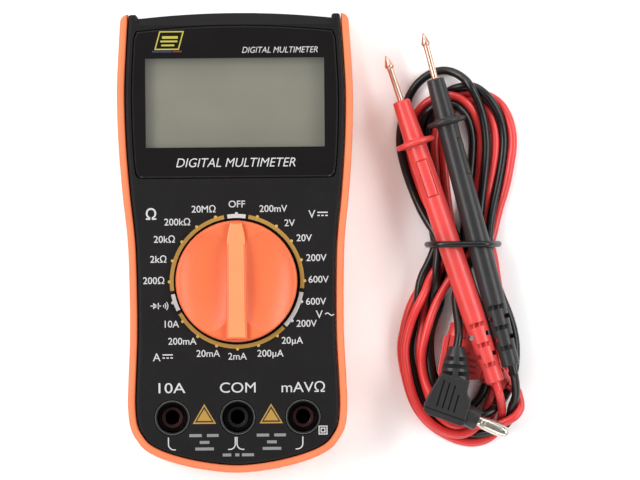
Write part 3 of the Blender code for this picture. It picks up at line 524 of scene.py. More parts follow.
def display():
    low, high = LENS_Z
    steps = [(0, low), (0, high - 0.45), (0.1, high - 0.2), (0.35, high)]
    plate = new_object("display_border", add_rings(
        bmesh.new(), inset_rings(lambda inset: lens_outline(-inset), steps)))
    x, y = WINDOW_HALF
    bottom, top = WINDOW_CENTRE_Y - y, WINDOW_CENTRE_Y + y
    carve(plate, block("opening", (-x, bottom, low - 1), (x, top, high + 1)))
    dress(plate, "gloss", "case", ["display_lens"], 20)
    pane = block("display_window", (-x, bottom, low), (x, top, high - 0.08))
    soften(pane, 0.06)
    dress(pane, "pane", "case")

    box_low, box_high = (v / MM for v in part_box("lcd_glass"))
    glass = bmesh.new()
    add_block(glass, box_low, (box_high.x, box_high.y, box_high.z - 0.5))
    edge = Vector((0.8, 1.1, 0))
    add_block(glass, (box_low + edge) + Vector((0, 0, 0.9)), box_high - edge)
    lcd = soften(new_object("lcd_panel", glass), 0.08)
    dress(lcd, "lcd", "case", ["lcd_glass"])


def selector():
    centre = (0, KNOB_Y)
    low, high = KNOB_Z
    steps = [(0, low)] + rounded(KNOB_ROUNDING, high, 6)
    knob = new_object("selector_dial", add_rings(bmesh.new(), inset_rings(
        lambda inset: circle(centre, KNOB_RADIUS - inset, 160), steps)))
    for side in (-1, 1):
        scoop = bmesh.new()
        bmesh.ops.create_uvsphere(scoop, u_segments=96, v_segments=48, radius=1)
        bmesh.ops.scale(scoop, vec=SCOOP_RADII, verts=scoop.verts)
        bmesh.ops.translate(scoop, vec=(side * SCOOP_X, KNOB_Y, SCOOP_Z), verts=scoop.verts)
        carve(knob, new_object("scoop", scoop))
    half = [(p.x, p.y + KNOB_Y) for p in spline(GRIP_SIDE, 5)]
    full = half + [(-x, y) for x, y in reversed(half)]
    ramp = [(0, low + 0.4), (0, BAR_TOP - 0.7), (0.2, BAR_TOP - 0.25), (0.7, BAR_TOP)]
    rings = []
    for inset, z in ramp:
        rings.append([
            (math.copysign(abs(x) - inset, x), KNOB_Y + (y - KNOB_Y) * (1 - inset / 17), z)
            for x, y in full])
    carve(knob, new_object("grip", add_rings(bmesh.new(), rings)), operation="UNION")
    soften(knob, 0.3, 3, 30)
    tip = KNOB_Y + POINTER_TIP_Y
    foot = tip - POINTER_LENGTH
    mark = prism("pointer_mark", [(-POINTER_HALF, foot), (POINTER_HALF, foot), (0, tip)],
                 BAR_TOP - 0.3, BAR_TOP + 0.06)
    carve(knob, mark, operation="UNION")
    carve(knob, drum("hub_part", centre, HUB_RADIUS, HUB_LOW, low + 0.5), operation="UNION")
    carve(knob, drum("hollow", centre, HUB_HOLLOW, HUB_LOW - 0.9, low + 0.3))
    dress(knob, "orange", "selector", ["selector_knob"], 40)
    # The upward faces on top of the grip bar take the lighter orange, a painted highlight
    knob.data.materials.append(LOOKS["grip"])
    for face in knob.data.polygons:
        if face.normal.z > 0.9 and face.center.z > (BAR_TOP - 0.35) * MM:
            face.material_index = 1


def jacks():
    rim = FACE_Z - 0.2
    for side, name, colour in ((-1, "10a", "red"), (0, "com", "black"), (1, "volt_ohm", "red")):
        place = Matrix.Translation((side * JACK_PITCH, JACK_Y, 0))
        cup = turned(f"jack_cup_{name}", [
            (SLEEVE_RADIUS + 0.02, WELL_FLOOR_Z), (WELL_RADIUS - 0.3, WELL_FLOOR_Z),
            (WELL_RADIUS, WELL_FLOOR_Z + 0.3), (WELL_RADIUS, rim - 0.12),
            (WELL_RADIUS + 0.12, rim), (CUP_RADIUS - 0.12, rim), (CUP_RADIUS, rim - 0.12),
            (CUP_RADIUS, FLANGE_Z[1]), (FLANGE_RADIUS, FLANGE_Z[1]), (FLANGE_RADIUS, FLANGE_Z[0]),
            (CUP_RADIUS, FLANGE_Z[0]), (CUP_RADIUS, JACK_LOW), (SLEEVE_RADIUS + 0.02, JACK_LOW),
        ], place, 72, closed=True)
        dress(cup, "well", "case")
        # A thin lighter ring along the cup's rim edge: a painted glint
        ring = turned(f"jack_rim_painted_glint_{name}", [
            (CUP_RADIUS - 0.24, rim - 0.02), (CUP_RADIUS - 0.12, rim + 0.07),
            (CUP_RADIUS, rim - 0.02)], place, 72)
        dress(ring, "rim", "case")
        sleeve = turned(f"jack_sleeve_{name}", [
            (SLEEVE_HOLE, SLEEVE_TOP - 0.15), (SLEEVE_HOLE + 0.15, SLEEVE_TOP),
            (SLEEVE_RADIUS - 0.3, SLEEVE_TOP), (SLEEVE_RADIUS, SLEEVE_TOP - 0.3),
            (SLEEVE_RADIUS, JACK_LOW), (2.8, JACK_LOW), (2.8, SLEEVE_TOP - 1.4),
            (SLEEVE_HOLE, SLEEVE_TOP - 1.4)], place, 64, closed=True)
        dress(sleeve, f"sleeve_{colour}", "case", [f"jack_liner_{name}"])


# ---------------------------------------------------------------- print on the panel

INK_LOW, INK_HIGH = -0.01, 0.03  # how far the ink reaches below and above its surface
CAPITAL = 0.69  # the height of the font's capitals
ARC_RADIUS, ARC_WIDTH, DOT_ORBIT, DOT_RADIUS = 19.02, 1.15, 19.7, 0.45
TRIANGLE_HALF, TRIANGLE_Y = 3.4, (-52.6, -46.8)


def text_outline(body, height, slant=0.0, weight=0.012):
    """The flat mesh of a word whose capitals have that height, centred on the origin."""
    curve = bpy.data.curves.new("word", "FONT")
    curve.body = body
    curve.shear = slant
    curve.offset = weight
    curve.resolution_u = 4
    holder = bpy.data.objects.new("word", curve)
    bpy.context.scene.collection.objects.link(holder)
    bpy.context.view_layer.update()
    graph = bpy.context.evaluated_depsgraph_get()
    data = bpy.data.meshes.new_from_object(holder.evaluated_get(graph))
    bpy.data.objects.remove(holder)
    bpy.data.curves.remove(curve)
    flat = bmesh.new()
    flat.from_mesh(data)
    bpy.data.meshes.remove(data)
    bmesh.ops.scale(flat, vec=(height / CAPITAL,) * 3, verts=flat.verts)
    xs = [v.co.x for v in flat.verts]
    middle = (min(xs) + max(xs)) / 2
    bmesh.ops.translate(flat, vec=(-middle, -height / 2, 0), verts=flat.verts)
    return flat, max(xs) - min(xs)


def add_flat(shape, flat, z):
    """Puts a flat mesh into a print as a thin raised layer."""
    bmesh.ops.translate(flat, vec=(0, 0, z + INK_HIGH), verts=flat.verts)
    made = bmesh.ops.extrude_face_region(flat, geom=flat.faces[:])
    moved = [v for v in made["geom"] if isinstance(v, bmesh.types.BMVert)]
    bmesh.ops.translate(flat, vec=(0, 0, INK_LOW - INK_HIGH), verts=moved)
    data = bpy.data.meshes.new("layer")
    flat.to_mesh(data)
    flat.free()
    shape.from_mesh(data)
    bpy.data.meshes.remove(data)


def add_word(shape, body, place, height, z, width=None, slant=0.0, weight=0.012):
    flat, wide = text_outline(body, height, slant, weight)
    if width:
        bmesh.ops.scale(flat, vec=(width / wide, 1, 1), verts=flat.verts)
    bmesh.ops.translate(flat, vec=(*place, 0), verts=flat.verts)
    add_flat(shape, flat, z)


def add_polygon(shape, points, z):
    flat = bmesh.new()
    flat.faces.new([flat.verts.new((x, y, 0)) for x, y in points])
    add_flat(shape, flat, z)


def add_band(shape, path, width, z, closed=False):
    """A flat line of that width along a path."""
    flat = bmesh.new()
    known = [Vector(p) for p in path]
    count = len(known)
    sides = []
    for i, point in enumerate(known):
        before = known[(i - 1) % count] if closed or i else point
        after = known[(i + 1) % count] if closed or i < count - 1 else point
        first, second = (point - before), (after - point)
        first = first.normalized() if first.length else second.normalized()
        second = second.normalized() if second.length else first
        along = (first + second).normalized()
        across = Vector((-along.y, along.x)) * (width / 2 / max(0.5, along.dot(second)))
        sides.append([flat.verts.new((*(point + off), 0)) for off in (across, -across)])
    for i in range(count if closed else count - 1):
        a, b = sides[i], sides[(i + 1) % count]
        flat.faces.new((a[0], a[1], b[1], b[0]))
    add_flat(shape, flat, z)


def dial_point(radius, clockwise):
    """A point round the selector, by its angle clockwise from the top."""
    angle = math.radians(90 - clockwise)
    return 0.15 + radius * math.cos(angle), KNOB_Y + radius * math.sin(angle)


def add_dial_arc(shape, start, end, z):
    count = max(4, int((end - start) / 2))
    path = [dial_point(ARC_RADIUS, start + (end - start) * i / count) for i in range(count + 1)]
    add_band(shape, path, ARC_WIDTH, z)


def ink(name, shape, look):
    dress(new_object(name, shape), look, "case", angle=30)


# What each label says and where its middle is, beside its mark on the dial
DIAL_LABELS = [
    ("OFF", 0.3, 11.3), ("200mV", 10.9, 9.9), ("2V", 15.6, 5.7), ("20V", 19.8, 1.3),
    ("200V", 23.3, -4.5), ("600V", 23.9, -10.8), ("600V", 23.1, -17.2), ("200V", 20.3, -23.6),
    ("20µA", 16.1, -28.5), ("200µA", 9.7, -32.2), ("2mA", 0.1, -33.0),
    ("20mA", -8.4, -32.1), ("200mA", -15.9, -28.5), ("10A", -18.9, -23.5),
    ("200Ω", -24.1, -10.8), ("2kΩ", -22.7, -4.6), ("20kΩ", -20.9, 1.2),
    ("200kΩ", -17.1, 6.2), ("20MΩ", -9.4, 9.9),
]
LABEL_HEIGHT = 1.95
WHITE_ARCS, GOLD_ARCS = [(-8, 8), (100, 133), (244, 259)], [(10.5, 96.5), (135, 241), (262, 349)]
WHITE_MARKS = (0, 6, 7, 14)  # the positions whose dots are white


def add_direct_current(shape, x, y, z):
    """A bar over three dashes."""
    add_band(shape, [(x - 1.5, y + 0.45), (x + 1.5, y + 0.45)], 0.35, z)
    for shift in (-1.15, 0, 1.15):
        add_band(shape, [(x + shift - 0.35, y - 0.45), (x + shift + 0.35, y - 0.45)], 0.35, z)


def panel_print():
    z = FACE_Z
    white, gold, dots = bmesh.new(), bmesh.new(), bmesh.new()
    for body, x, y in DIAL_LABELS:
        add_word(white, body, (x, y), LABEL_HEIGHT, z, weight=0.006)
    for start, end in WHITE_ARCS:
        add_dial_arc(white, start, end, z)
    for start, end in GOLD_ARCS:
        add_dial_arc(gold, start, end, z)
    for index in range(POSITIONS):
        target = white if index in WHITE_MARKS else dots
        spot = dial_point(DOT_ORBIT, index * 360 / POSITIONS)
        add_polygon(target, circle(spot, DOT_RADIUS, 20), z + 0.04)
    for body, x, y, height in (
            ("Ω", -24.7, 8.5, 3.1), ("V", 22.1, 8.2, 2.3), ("V", 24.0, -21.0, 2.3),
            ("A", -23.4, -33.1, 2.3)):
        add_word(white, body, (x, y), height, z, weight=0.012 if body == "Ω" else 0.0)
    add_direct_current(white, 25.2, 8.2, z)
    add_direct_current(white, -20.2, -32.9, z)
    wave = [(25.7 + 0.2 * i, -21.0 + 0.35 * math.sin(2 * math.pi * i / 13)) for i in range(14)]
    add_band(white, wave, 0.3, z)

    # The diode and buzzer position
    x, y = -24.3, -18.2
    add_polygon(white, [(x, y + 0.9), (x, y - 0.9), (x + 1.4, y)], z)
    add_band(white, [(x + 1.5, y + 0.9), (x + 1.5, y - 0.9)], 0.3, z)
    add_band(white, [(x - 0.8, y), (x + 2.3, y)], 0.25, z)
    for radius in (0.5, 1.1, 1.7):
        sound = corner_arc((x + 2.6, y), radius, -42, 42, 6)
        add_band(white, sound, 0.26, z)

    for body, x, width in (
            ("10A", -JACK_PITCH, 7.8), ("COM", 0.1, 10.4), ("mAVΩ", JACK_PITCH + 0.1, 12.6)):
        add_word(white, body, (x, -42.1), 2.95, z, width, weight=0.0)

    # Lines that lead from the jacks, with a fork under the middle one
    top, bend, line = -56.5, 1.6, 0.32
    for x, side in ((-20.2, -1), (-0.75, 1), (-0.25, -1), (18.9, 1)):
        turn = corner_arc((x - side * bend, top - 2.0), bend, 90 - side * 90, -90 if side > 0
                          else 270, 6)
        add_band(white, [(x, top)] + turn + [(turn[-1][0] - side * 0.5, turn[-1][1])], line, z)
    small = bmesh.new()
    for middle in (-9.7, 9.9):
        for y, words in ((-56.0, ((-2.6, 3.6), (2.4, 3.4))), (-58.0, ((0, 2.8),)),
                         (-59.9, ((0, 5.4),))):
            for shift, length in words:
                x = middle + shift
                add_band(small, [(x - length / 2, y), (x + length / 2, y)], 0.85, z)
    for x, length in ((-3.2, 2.5), (-0.2, 1.2), (2.9, 3.5)):
        add_band(small, [(x - length / 2, -61.7), (x + length / 2, -61.7)], 0.85, z)
    ink("panel_small_print", small, "grey_ink")
    middle = Vector((24.8, -54.7))
    for half in (1.15, 0.55):
        corners = [middle + Vector(c) * half for c in ((-1, -1), (1, -1), (1, 1), (-1, 1))]
        add_band(white, corners, 0.3, z, closed=True)
    ink("panel_print_white", white, "white_ink")
    ink("panel_print_gold", gold, "gold_ink")
    ink("panel_marks", dots, "dot_ink")

    yellow, dark = bmesh.new(), bmesh.new()
    for middle in (-9.7, 9.75):
        for shape, shrink, rise in ((yellow, 0, 0), (dark, 0.42, 0.02), (yellow, 0.85, 0.04)):
            half, base = TRIANGLE_HALF - 1.5 * shrink, TRIANGLE_Y[0] + shrink
            add_polygon(shape, [
                (middle - half, base), (middle + half, base),
                (middle, TRIANGLE_Y[1] - 1.8 * shrink)], z + rise)
    ink("panel_print_yellow", yellow, "gold_ink")
    ink("panel_print_dark", dark, "dark_ink")


def lens_print():
    z = LENS_Z[1]
    white, yellow, blue, red = (bmesh.new() for _ in range(4))
    add_word(white, "DIGITAL MULTIMETER", (0.1, 23.4), 2.6, z, 34.7, 0.25, -0.004)
    add_word(white, "DIGITAL MULTIMETER", (13.2, 56.1), 1.75, z, 22.0, 0.25, -0.004)
    lean = 0.28
    x, y, half_x, half_y = -19.0, 59.0, 3.4, 2.55
    corners = [(x - half_x - lean * half_y, y - half_y), (x + half_x - lean * half_y, y - half_y),
               (x + half_x + lean * half_y, y + half_y), (x - half_x + lean * half_y, y + half_y)]
    add_band(yellow, corners, 0.35, z, closed=True)
    for row, (length, rise) in enumerate(((4.6, 0.9), (5.0, -0.25), (3.8, -1.4))):
        middle = x + lean * rise
        add_band(yellow, [(middle - length / 2, y + rise), (middle + length / 2, y + rise)],
                 0.75 if row == 0 else 0.5, z)
    add_band(blue, [(-24.0, 55.8), (-18.3, 55.8)], 0.6, z)
    add_band(red, [(-18.0, 55.8), (-15.4, 55.8)], 0.45, z)
    ink("lens_print_white", white, "white_ink")
    ink("lens_print_yellow", yellow, "yellow_ink")
    ink("lens_print_blue", blue, "blue_ink")
    ink("lens_print_red", red, "red_ink")


# ---------------------------------------------------------------- test leads

def axis_frame(low, high):
    """A frame whose Z runs from one point to another and whose Y leans up."""
    way = Vector(high) - Vector(low)
    return Matrix.Translation(low) @ way.to_track_quat("Z", "Y").to_matrix().to_4x4()


def moved(obj, frame_matrix):
    """Puts a mesh that was made about the origin into a frame given in millimetres."""
    place = Matrix.Translation(frame_matrix.translation * (MM - 1)) @ frame_matrix
    obj.data.transform(place)
    return obj


FRONT_SLOTS, SIDE_SLOTS, SLOT = (5.4, 11.5, 17.6), (8.4, 14.5), 1.35
PANEL_Z, PANEL_HALF, PANEL_TURN = (57.6, 68.3), 1.75, {"red": 0, "black": 66}
GUARD_Z = 73.9


def probe(colour):
    tip, rear = PROBES[colour]
    nose = PROBE_LENGTH - TIP_LENGTH
    bore = 1.3
    profile = [
        (0, 8), (bore, 8), (bore, 0.25), (bore + 0.25, 0), (2.35, 0), (2.65, 0.3), (2.72, 4.7),
        (3.0, 11), (3.3, 18.9), (3.42, 22), (3.35, 45), (3.1, GUARD_Z - 1.2), (3.5, GUARD_Z - 0.9),
        (5.4, GUARD_Z - 0.7), (5.75, GUARD_Z - 0.4), (5.85, GUARD_Z), (5.75, GUARD_Z + 0.4),
        (5.4, GUARD_Z + 0.7), (3.5, GUARD_Z + 0.9), (3.05, GUARD_Z + 1.4), (2.6, nose - 0.5),
        (2.5, nose - 0.2), (2.2, nose), (1.35, nose), (1.2, nose - 0.3), (1.0, nose - 0.3),
        (1.0, nose - 4), (0, nose - 4)]
    body = turned(f"{colour}_handle", profile, steps=96)
    for z in FRONT_SLOTS:
        for side in (-1, 1):
            y0, y1 = sorted((side * 3.6, side * 2.0))
            carve(body, block("slot", (-2.3, y0, z - SLOT / 2), (2.3, y1, z + SLOT / 2)))
    for z in SIDE_SLOTS:
        for side in (-1, 1):
            x0, x1 = sorted((side * 1.75, side * 4.0))
            carve(body, block("notch", (x0, -2.6, z - SLOT / 2), (x1, 2.6, z + SLOT / 2)))
    ribs = bmesh.new()
    for z in FRONT_SLOTS:
        for side in (-1, 1):
            for x in (-0.85, 0.85):
                add_block(ribs, (x - 0.22, side * 2.3 - 0.5, z - SLOT / 2 - 0.1),
                          (x + 0.22, side * 2.3 + 0.5, z + SLOT / 2 + 0.1))
    carve(body, new_object("ribs", ribs), operation="UNION")
    (low, high), half, line = PANEL_Z, PANEL_HALF, 0.32
    roll = Matrix.Rotation(math.radians(PANEL_TURN[colour]), 4, "Z")
    for x0, x1, z0, z1 in (
            (-half, -half + line, low, high), (half - line, half, low, high),
            (-half - 0.05, half + 0.05, low - line, low),
            (-half - 0.05, half + 0.05, high, high + line)):
        carve(body, moved(block("groove", (x0, 2.5, z0), (x1, 3.9, z1)), roll))
    soften(body, 0.16, 2, 40)
    moved(body, axis_frame(rear, tip))
    dress(body, f"{colour}_lead", "leads", [f"{colour}_probe_handle"], 42)

    shaft, end = 0.92, TIP_LENGTH
    spike = turned(f"{colour}_tip", [
        (0, -3.6), (shaft, -3.6), (shaft, end - 4.6), (shaft + 0.08, end - 4.3),
        (shaft + 0.02, end - 4.0), (1.15, end - 3.8), (1.36, end - 3.3), (1.3, end - 3.0),
        (0.75, end - 1.4), (0.2, end - 0.12), (0.08, end - 0.02), (0, end)],
        axis_frame(Vector(rear) + (Vector(tip) - Vector(rear)).normalized() * nose, tip), 48)
    dress(spike, "tip", "leads", [f"{colour}_probe_tip"])
    return body, spike


def plug_frame(colour):
    """From the plug's own axes, Y along its body and X towards its pin, to the frame's."""
    place, turn, flipped, tilt, _, _ = PLUGS[colour]
    matrix = Matrix.Translation(place) @ Matrix.Rotation(math.radians(turn), 4, "Z")
    matrix = matrix @ Matrix.Rotation(math.radians(tilt), 4, "X")
    return matrix @ Matrix.Rotation(math.pi, 4, "Y") if flipped else matrix


def relief_way(colour):
    bend = math.radians(PLUGS[colour][4])
    rise = RELIEF_RISE if colour == "red" else 0.0
    return Vector((
        -math.sin(bend) * RELIEF_LENGTH, math.cos(bend) * RELIEF_LENGTH, rise))


def plug(colour):
    half = PLUG_THICKNESS / 2
    outline = [(-6.6, 2.9), (-6.45, 1.4), (-5.6, 0.55), (-4.6, 0.2), (4.9, -0.35), (6.0, -0.2),
               (6.35, 0.4), (6.35, 7.0), (6.0, 7.9), (5.0, 8.9), (4.6, 9.8), (4.35, 13.0),
               (-4.3, 13.0), (-5.95, 6.5)]
    body = prism(f"{colour}_plug", outline, -half, half)
    soften(body, 1.1, 4, 30)
    for side in (-1, 1):
        z0, z1 = sorted((side * (half - 0.55), side * (half + 1)))
        for k, (x, top) in enumerate(((-2.9, 11.2), (-1.15, 10.9), (0.6, 10.6), (2.35, 8.2))):
            groove = prism("groove", [
                (x - 0.24, 3.3 - 0.12 * k), (x + 0.24, 3.3 - 0.12 * k), (x + 0.24, top),
                (x - 0.24, top)], z0, z1)
            carve(body, groove)
        carve(body, prism("band", [
            (-7.5, 2.45), (7.5, 1.55), (7.5, 1.1), (-7.5, 2.0)], z0, z1))
    carve(body, block("band_end", (-8, 1.9, -3), (-5.75, 2.35, 3)))
    way = relief_way(colour)
    neck = Matrix.Translation((0, PLUG_LENGTH - 0.6, 0)) @ (
        way.to_track_quat("Z", "Y").to_matrix().to_4x4())
    long = RELIEF_LENGTH + 0.6
    relief = turned("relief", [
        (0, -1.5), (4.1, -1.5), (4.15, 1.2), (4.0, 3.2), (3.75, 4.6), (3.4, 6.0), (2.9, 7.4),
        (2.2, long - 0.2), (2.0, long), (1.6, long), (1.3, long - 0.3), (1.3, 4), (0, 4)],
        steps=64)
    for z, full in ((1.55, False), (3.7, True), (5.9, False)):
        for side in (-1, 1):
            y0, y1 = sorted((side * 1.6, side * 5))
            if full:
                carve(relief, block("slot", (-5, y0, z - 0.6), (5, y1, z + 0.6)))
            else:
                for flank in (-1, 1):
                    x0, x1 = sorted((flank * 0.75, flank * 5))
                    carve(relief, block("slot", (x0, y0, z - 0.6), (x1, y1, z + 0.6)))
    relief.data.transform(Matrix.Diagonal((1.0, 0.86, 1.0, 1.0)))
    soften(relief, 0.14, 2, 40)
    carve(body, moved(relief, neck), operation="UNION")
    turn = math.radians(PLUGS[colour][5])
    outlet = axis_frame(OUTLET, OUTLET + Vector((math.cos(turn), math.sin(turn), 0)))
    collar = turned("collar", [
        (0, 0), (3.25, 0), (COLLAR_RADIUS, 6.2), (3.05, COLLAR_LENGTH), (2.4, COLLAR_LENGTH),
        (2.3, 6.4), (2.3, 4.6), (0, 4.6)], steps=64)
    carve(body, moved(collar, outlet), operation="UNION")
    soften(body, 0.12, 2, 50)
    moved(body, plug_frame(colour))
    dress(body, f"{colour}_lead", "leads", [f"{colour}_plug_body"], 42)

    pin = turned(f"{colour}_pin", [
        (0, 3.9), (1.6, 3.9), (1.6, 7.3), (1.75, 7.6), (1.98, 9.3), (2.0, 11.5), (1.9, 13.8),
        (1.7, 15.2), (1.35, 15.9), (0.9, PIN_END), (0, PIN_END)], steps=64)
    for slit in ((2.6, 0.42), (0.42, 2.6)):
        carve(pin, block("slit", (-slit[0], -slit[1] / 1.4, 8.2), (slit[0], slit[1] / 1.4, 15.2)))
    core = turned("core", [(0, 5), (0.85, 5), (0.85, 15.6), (0, 15.6)], steps=32)
    carve(pin, core, operation="UNION")
    soften(pin, 0.08, 2, 40)
    moved(pin, plug_frame(colour) @ outlet)
    dress(pin, "nickel", "leads", [f"{colour}_plug_pin"], 42)
    return body, pin


def tie():
    route = [Vector((x, TIE_Y, z)) for x, z in TIE_ROUTE]
    path = [Vector((p.x, p.y, max(p.z, TIE_RADIUS + 0.05))) for p in spline(route, 8, closed=True)]
    band = new_object("cord_tie", swept(path, TIE_RADIUS, 16, closed=True))
    dress(band, "black_cord", "leads", ["lead_tie"])


def swept(path, radius, sides, closed=False):
    """A round rod along a path."""
    rings = []
    count = len(path)
    up = Vector((0, 1, 0))
    for i, point in enumerate(path):
        before = path[(i - 1) % count] if closed or i else point
        after = path[(i + 1) % count] if closed or i < count - 1 else point
        along = (after - before).normalized()
        side = along.cross(up).normalized()
        up = side.cross(along).normalized()
        rings.append([
            point + (side * math.cos(2 * math.pi * k / sides)
                     + up * math.sin(2 * math.pi * k / sides)) * radius
            for k in range(sides)])
    return add_rings(bmesh.new(), rings, closed=closed)


# ---------------------------------------------------------------- cords

SAMPLE = 1.25  # distance between the points that stand for a cord
NEIGHBOURS, CLEARANCE = 5, 0.02  # points along one cord that may touch, and the room left
SINK, PULL, STIFFNESS = 0.02, 0.03, 0.25  # how fast a cord sinks, returns to its plan, straightens
STANDS_FOR = {
    "red": ["lead_hank", "red_probe_cord"], "black": ["black_probe_cord", "black_plug_cord"]}
CROSSING_X, CROSSING_PITCH, CROSSING_Z = 57.7, 1.48, (3.1, 5.15)
UPPER_BULGE, LOWER_BULGE = 31.0, -34.0
LEFT_SWELL, RIGHT_SWELL = ((0.36, 0.25), (0.67, 0.5), (0.91, 0.76)), ((0.24, 0.33), (0.74, 0.66))
# Each turn of the hank: the crossing at the tie where it starts, how far it swells on that
# side, its far end, how far it swells on the way back, and the crossing where it ends
TURNS = {
    "E": (2, 58.2, (69.0, 44.4), 81.6, 12), "D": (4, 60.7, (68.0, 42.9), 76.4, 10),
    "B": (0, 55.7, (68.5, 45.2), 78.9, 11), "F": (5, 53.1, (62.2, 41.4), 70.0, 6),
    "C": (3, 50.6, (62.6, 43.2), 71.9, 8), "A": (1, 48.0, (61.2, 50.8), 73.4, 9),
    "r1": (12, 79.3, (66.0, -56.0), 53.2, 4), "b1": (11, 81.7, (67.0, -53.4), 55.8, 5),
    "r2": (10, 76.8, (64.5, -57.5), 48.9, 3), "b2": (6, 74.3, (65.0, -50.8), 56.4, 1),
}
LEADS = {"red": ["rt", "r0", "E", "r1", "D", "r2", "C", "r3"],
         "black": ["bt", "b0", "B", "b1", "F", "b2", "A", "b3"]}
LAID = ["r0", "b0", "r1", "r2", "b2", "b1", "E", "D", "B", "F", "C", "A", "r3", "b3", "rt", "bt"]


def between(a, b, share):
    return a + (b - a) * share


def crossing(slot, bulge_y):
    x, z = CROSSING_X + CROSSING_PITCH * slot, CROSSING_Z[slot % 2]
    return [(x, TIE_Y, z), (x, TIE_Y + math.copysign(2.6, bulge_y), z)]


def swelling(slot, bulge, bulge_y):
    """From a crossing at the tie out to the widest place of a turn."""
    x = CROSSING_X + CROSSING_PITCH * slot
    shares = LEFT_SWELL if bulge < x else RIGHT_SWELL
    middle = [
        (between(x, bulge, across), between(TIE_Y, bulge_y, along)) for across, along in shares]
    return crossing(slot, bulge_y) + middle + [(bulge, bulge_y)]


def rounding(bulge, apex, bulge_y):
    return [(between(bulge, apex[0], 0.293), between(bulge_y, apex[1], 0.707))]


def half_turn(apex, second, end, bulge_y):
    return [apex] + rounding(second, apex, bulge_y) + swelling(end, second, bulge_y)[:0:-1]


def whole_turn(name):
    start, first, apex, second, end = TURNS[name]
    bulge_y = UPPER_BULGE if apex[1] > 0 else LOWER_BULGE
    out = swelling(start, first, bulge_y) + rounding(first, apex, bulge_y)
    return out + half_turn(apex, second, end, bulge_y)


def strand(name):
    """The planned points of one strand; a third number is a height that is kept."""
    if name == "rt":
        return [(75.1, -40.3, 12.25), (75.6, -41.8, 12.3), (76.6, -45.0, 11.7),
                (77.6, -48.5, 10.4), (78.2, -51.5, 8.6)]
    if name == "bt":
        return [(79.85, -35.6, 12.15), (80.27, -37.0, 12.2), (81.2, -40.5, 11.7),
                (81.9, -44.0, 10.5), (81.8, -47.5, 9.2), (81.0, -50.5, 8.5)]
    if name == "r0":
        return [(77.2, -55.6)] + half_turn((70.0, -59.3), 48.0, 2, LOWER_BULGE)
    if name == "b0":
        return [(78.6, -54.4)] + half_turn((68.0, -57.2), 50.3, 0, LOWER_BULGE)
    if name == "r3":
        return crossing(8, -1) + [
            (65.3, -7.5), (61.7, -11.8), (58.6, -17.5), (56.0, -25.0), (54.0, -33.0),
            (54.3, -39.5), (57.0, -46.0), (62.0, -51.0), (68.5, -54.0), (75.0, -54.6),
            (80.3, -52.6), (82.7, -48.6), (82.3, -44.8, 5.2), (79.0, -42.1, 6.3)]
    if name == "b3":
        return crossing(9, -1) + [
            (67.0, -8.0), (64.6, -11.5), (63.6, -15.5, 6.8), (63.9, -18.5, 7.9),
            (64.4, -21.0, 9.2), (64.9, -24.5, 11.1), (64.8, -27.6, 12.5), (64.3, -30.7, 13.4),
            (64.05, -31.7, 13.4)]
    return whole_turn(name)


def evenly(colour):
    """A cord's plan as evenly spaced points, the heights kept there, and its strands."""
    points, laid = [], []
    for name in LEADS[colour]:
        for point in strand(name):
            if points and math.dist(points[-1][:2], point[:2]) < 0.5:
                continue
            points.append((*point, math.nan)[:3])
            laid.append(LAID.index(name))
    xy = np.array([p[:2] for p in points], float)
    heights = [p[2] for p in points]
    xy = np.vstack([2 * xy[0] - xy[1], xy, 2 * xy[-1] - xy[-2]])
    rows = []
    for i in range(len(points) - 1):
        a, b, c, d = xy[i:i + 4]
        for t in np.linspace(0, 1, max(2, int(np.linalg.norm(c - b) / 0.25)), endpoint=False):
            place = b + (c - a) * t / 2 + (2 * a - 5 * b + 4 * c - d) * t ** 2 / 2
            place = place + (3 * b - a - 3 * c + d) * t ** 3 / 2
            later = laid[i + 1] if t > 0 else laid[i]
            rows.append((*place, between(heights[i], heights[i + 1], t), later))
    rows.append((*xy[-2], heights[-1], laid[-1]))
    rows = np.array(rows)
    steps = np.linalg.norm(np.diff(rows[:, :2], axis=0), axis=1)
    along = np.concatenate([[0], np.cumsum(steps)])
    at = np.linspace(0, along[-1], int(round(along[-1] / SAMPLE)) + 1)
    near = np.searchsorted(along, at).clip(0, len(rows) - 1)
    plan = np.stack([np.interp(at, along, rows[:, k]) for k in (0, 1)], axis=1)
    return plan, rows[near, 2], rows[near, 3].astype(int)


def windowed(values, half, how):
    padded = np.pad(values, half, mode="edge")
    return how(np.lib.stride_tricks.sliding_window_view(padded, 2 * half + 1), axis=1)


def laid_heights(xy, kept, laid, cord, index):
    """First heights: each strand rests on the bench, the tie and the strands below it."""
    z = np.full(len(xy), np.nan)
    reach = TIE_RADIUS + CORD_RADIUS
    for k in range(len(LAID)):
        mine = np.where(laid == k)[0]
        under = np.where(~np.isnan(z))[0]
        aside = np.abs(xy[mine, 1] - TIE_Y)
        over_tie = TIE_RADIUS + np.sqrt(np.maximum(reach ** 2 - aside ** 2, 0))
        low = np.maximum(CORD_RADIUS, np.where(aside < reach, over_tie, 0))
        if len(under):
            apart = np.linalg.norm(xy[mine][:, None] - xy[under][None], axis=2)
            own = (cord[mine][:, None] == cord[under][None]) & (
                np.abs(index[mine][:, None] - index[under][None]) < NEIGHBOURS)
            over = z[under][None] + np.sqrt(np.maximum(CORD ** 2 - apart ** 2, 0))
            low = np.maximum(low, np.where((apart < CORD) & ~own, over, 0).max(axis=1))
        low = windowed(windowed(windowed(low, 2, np.max), 2, np.mean), 1, np.mean)
        z[mine] = np.where(np.isnan(kept[mine]), low, kept[mine])
    return z


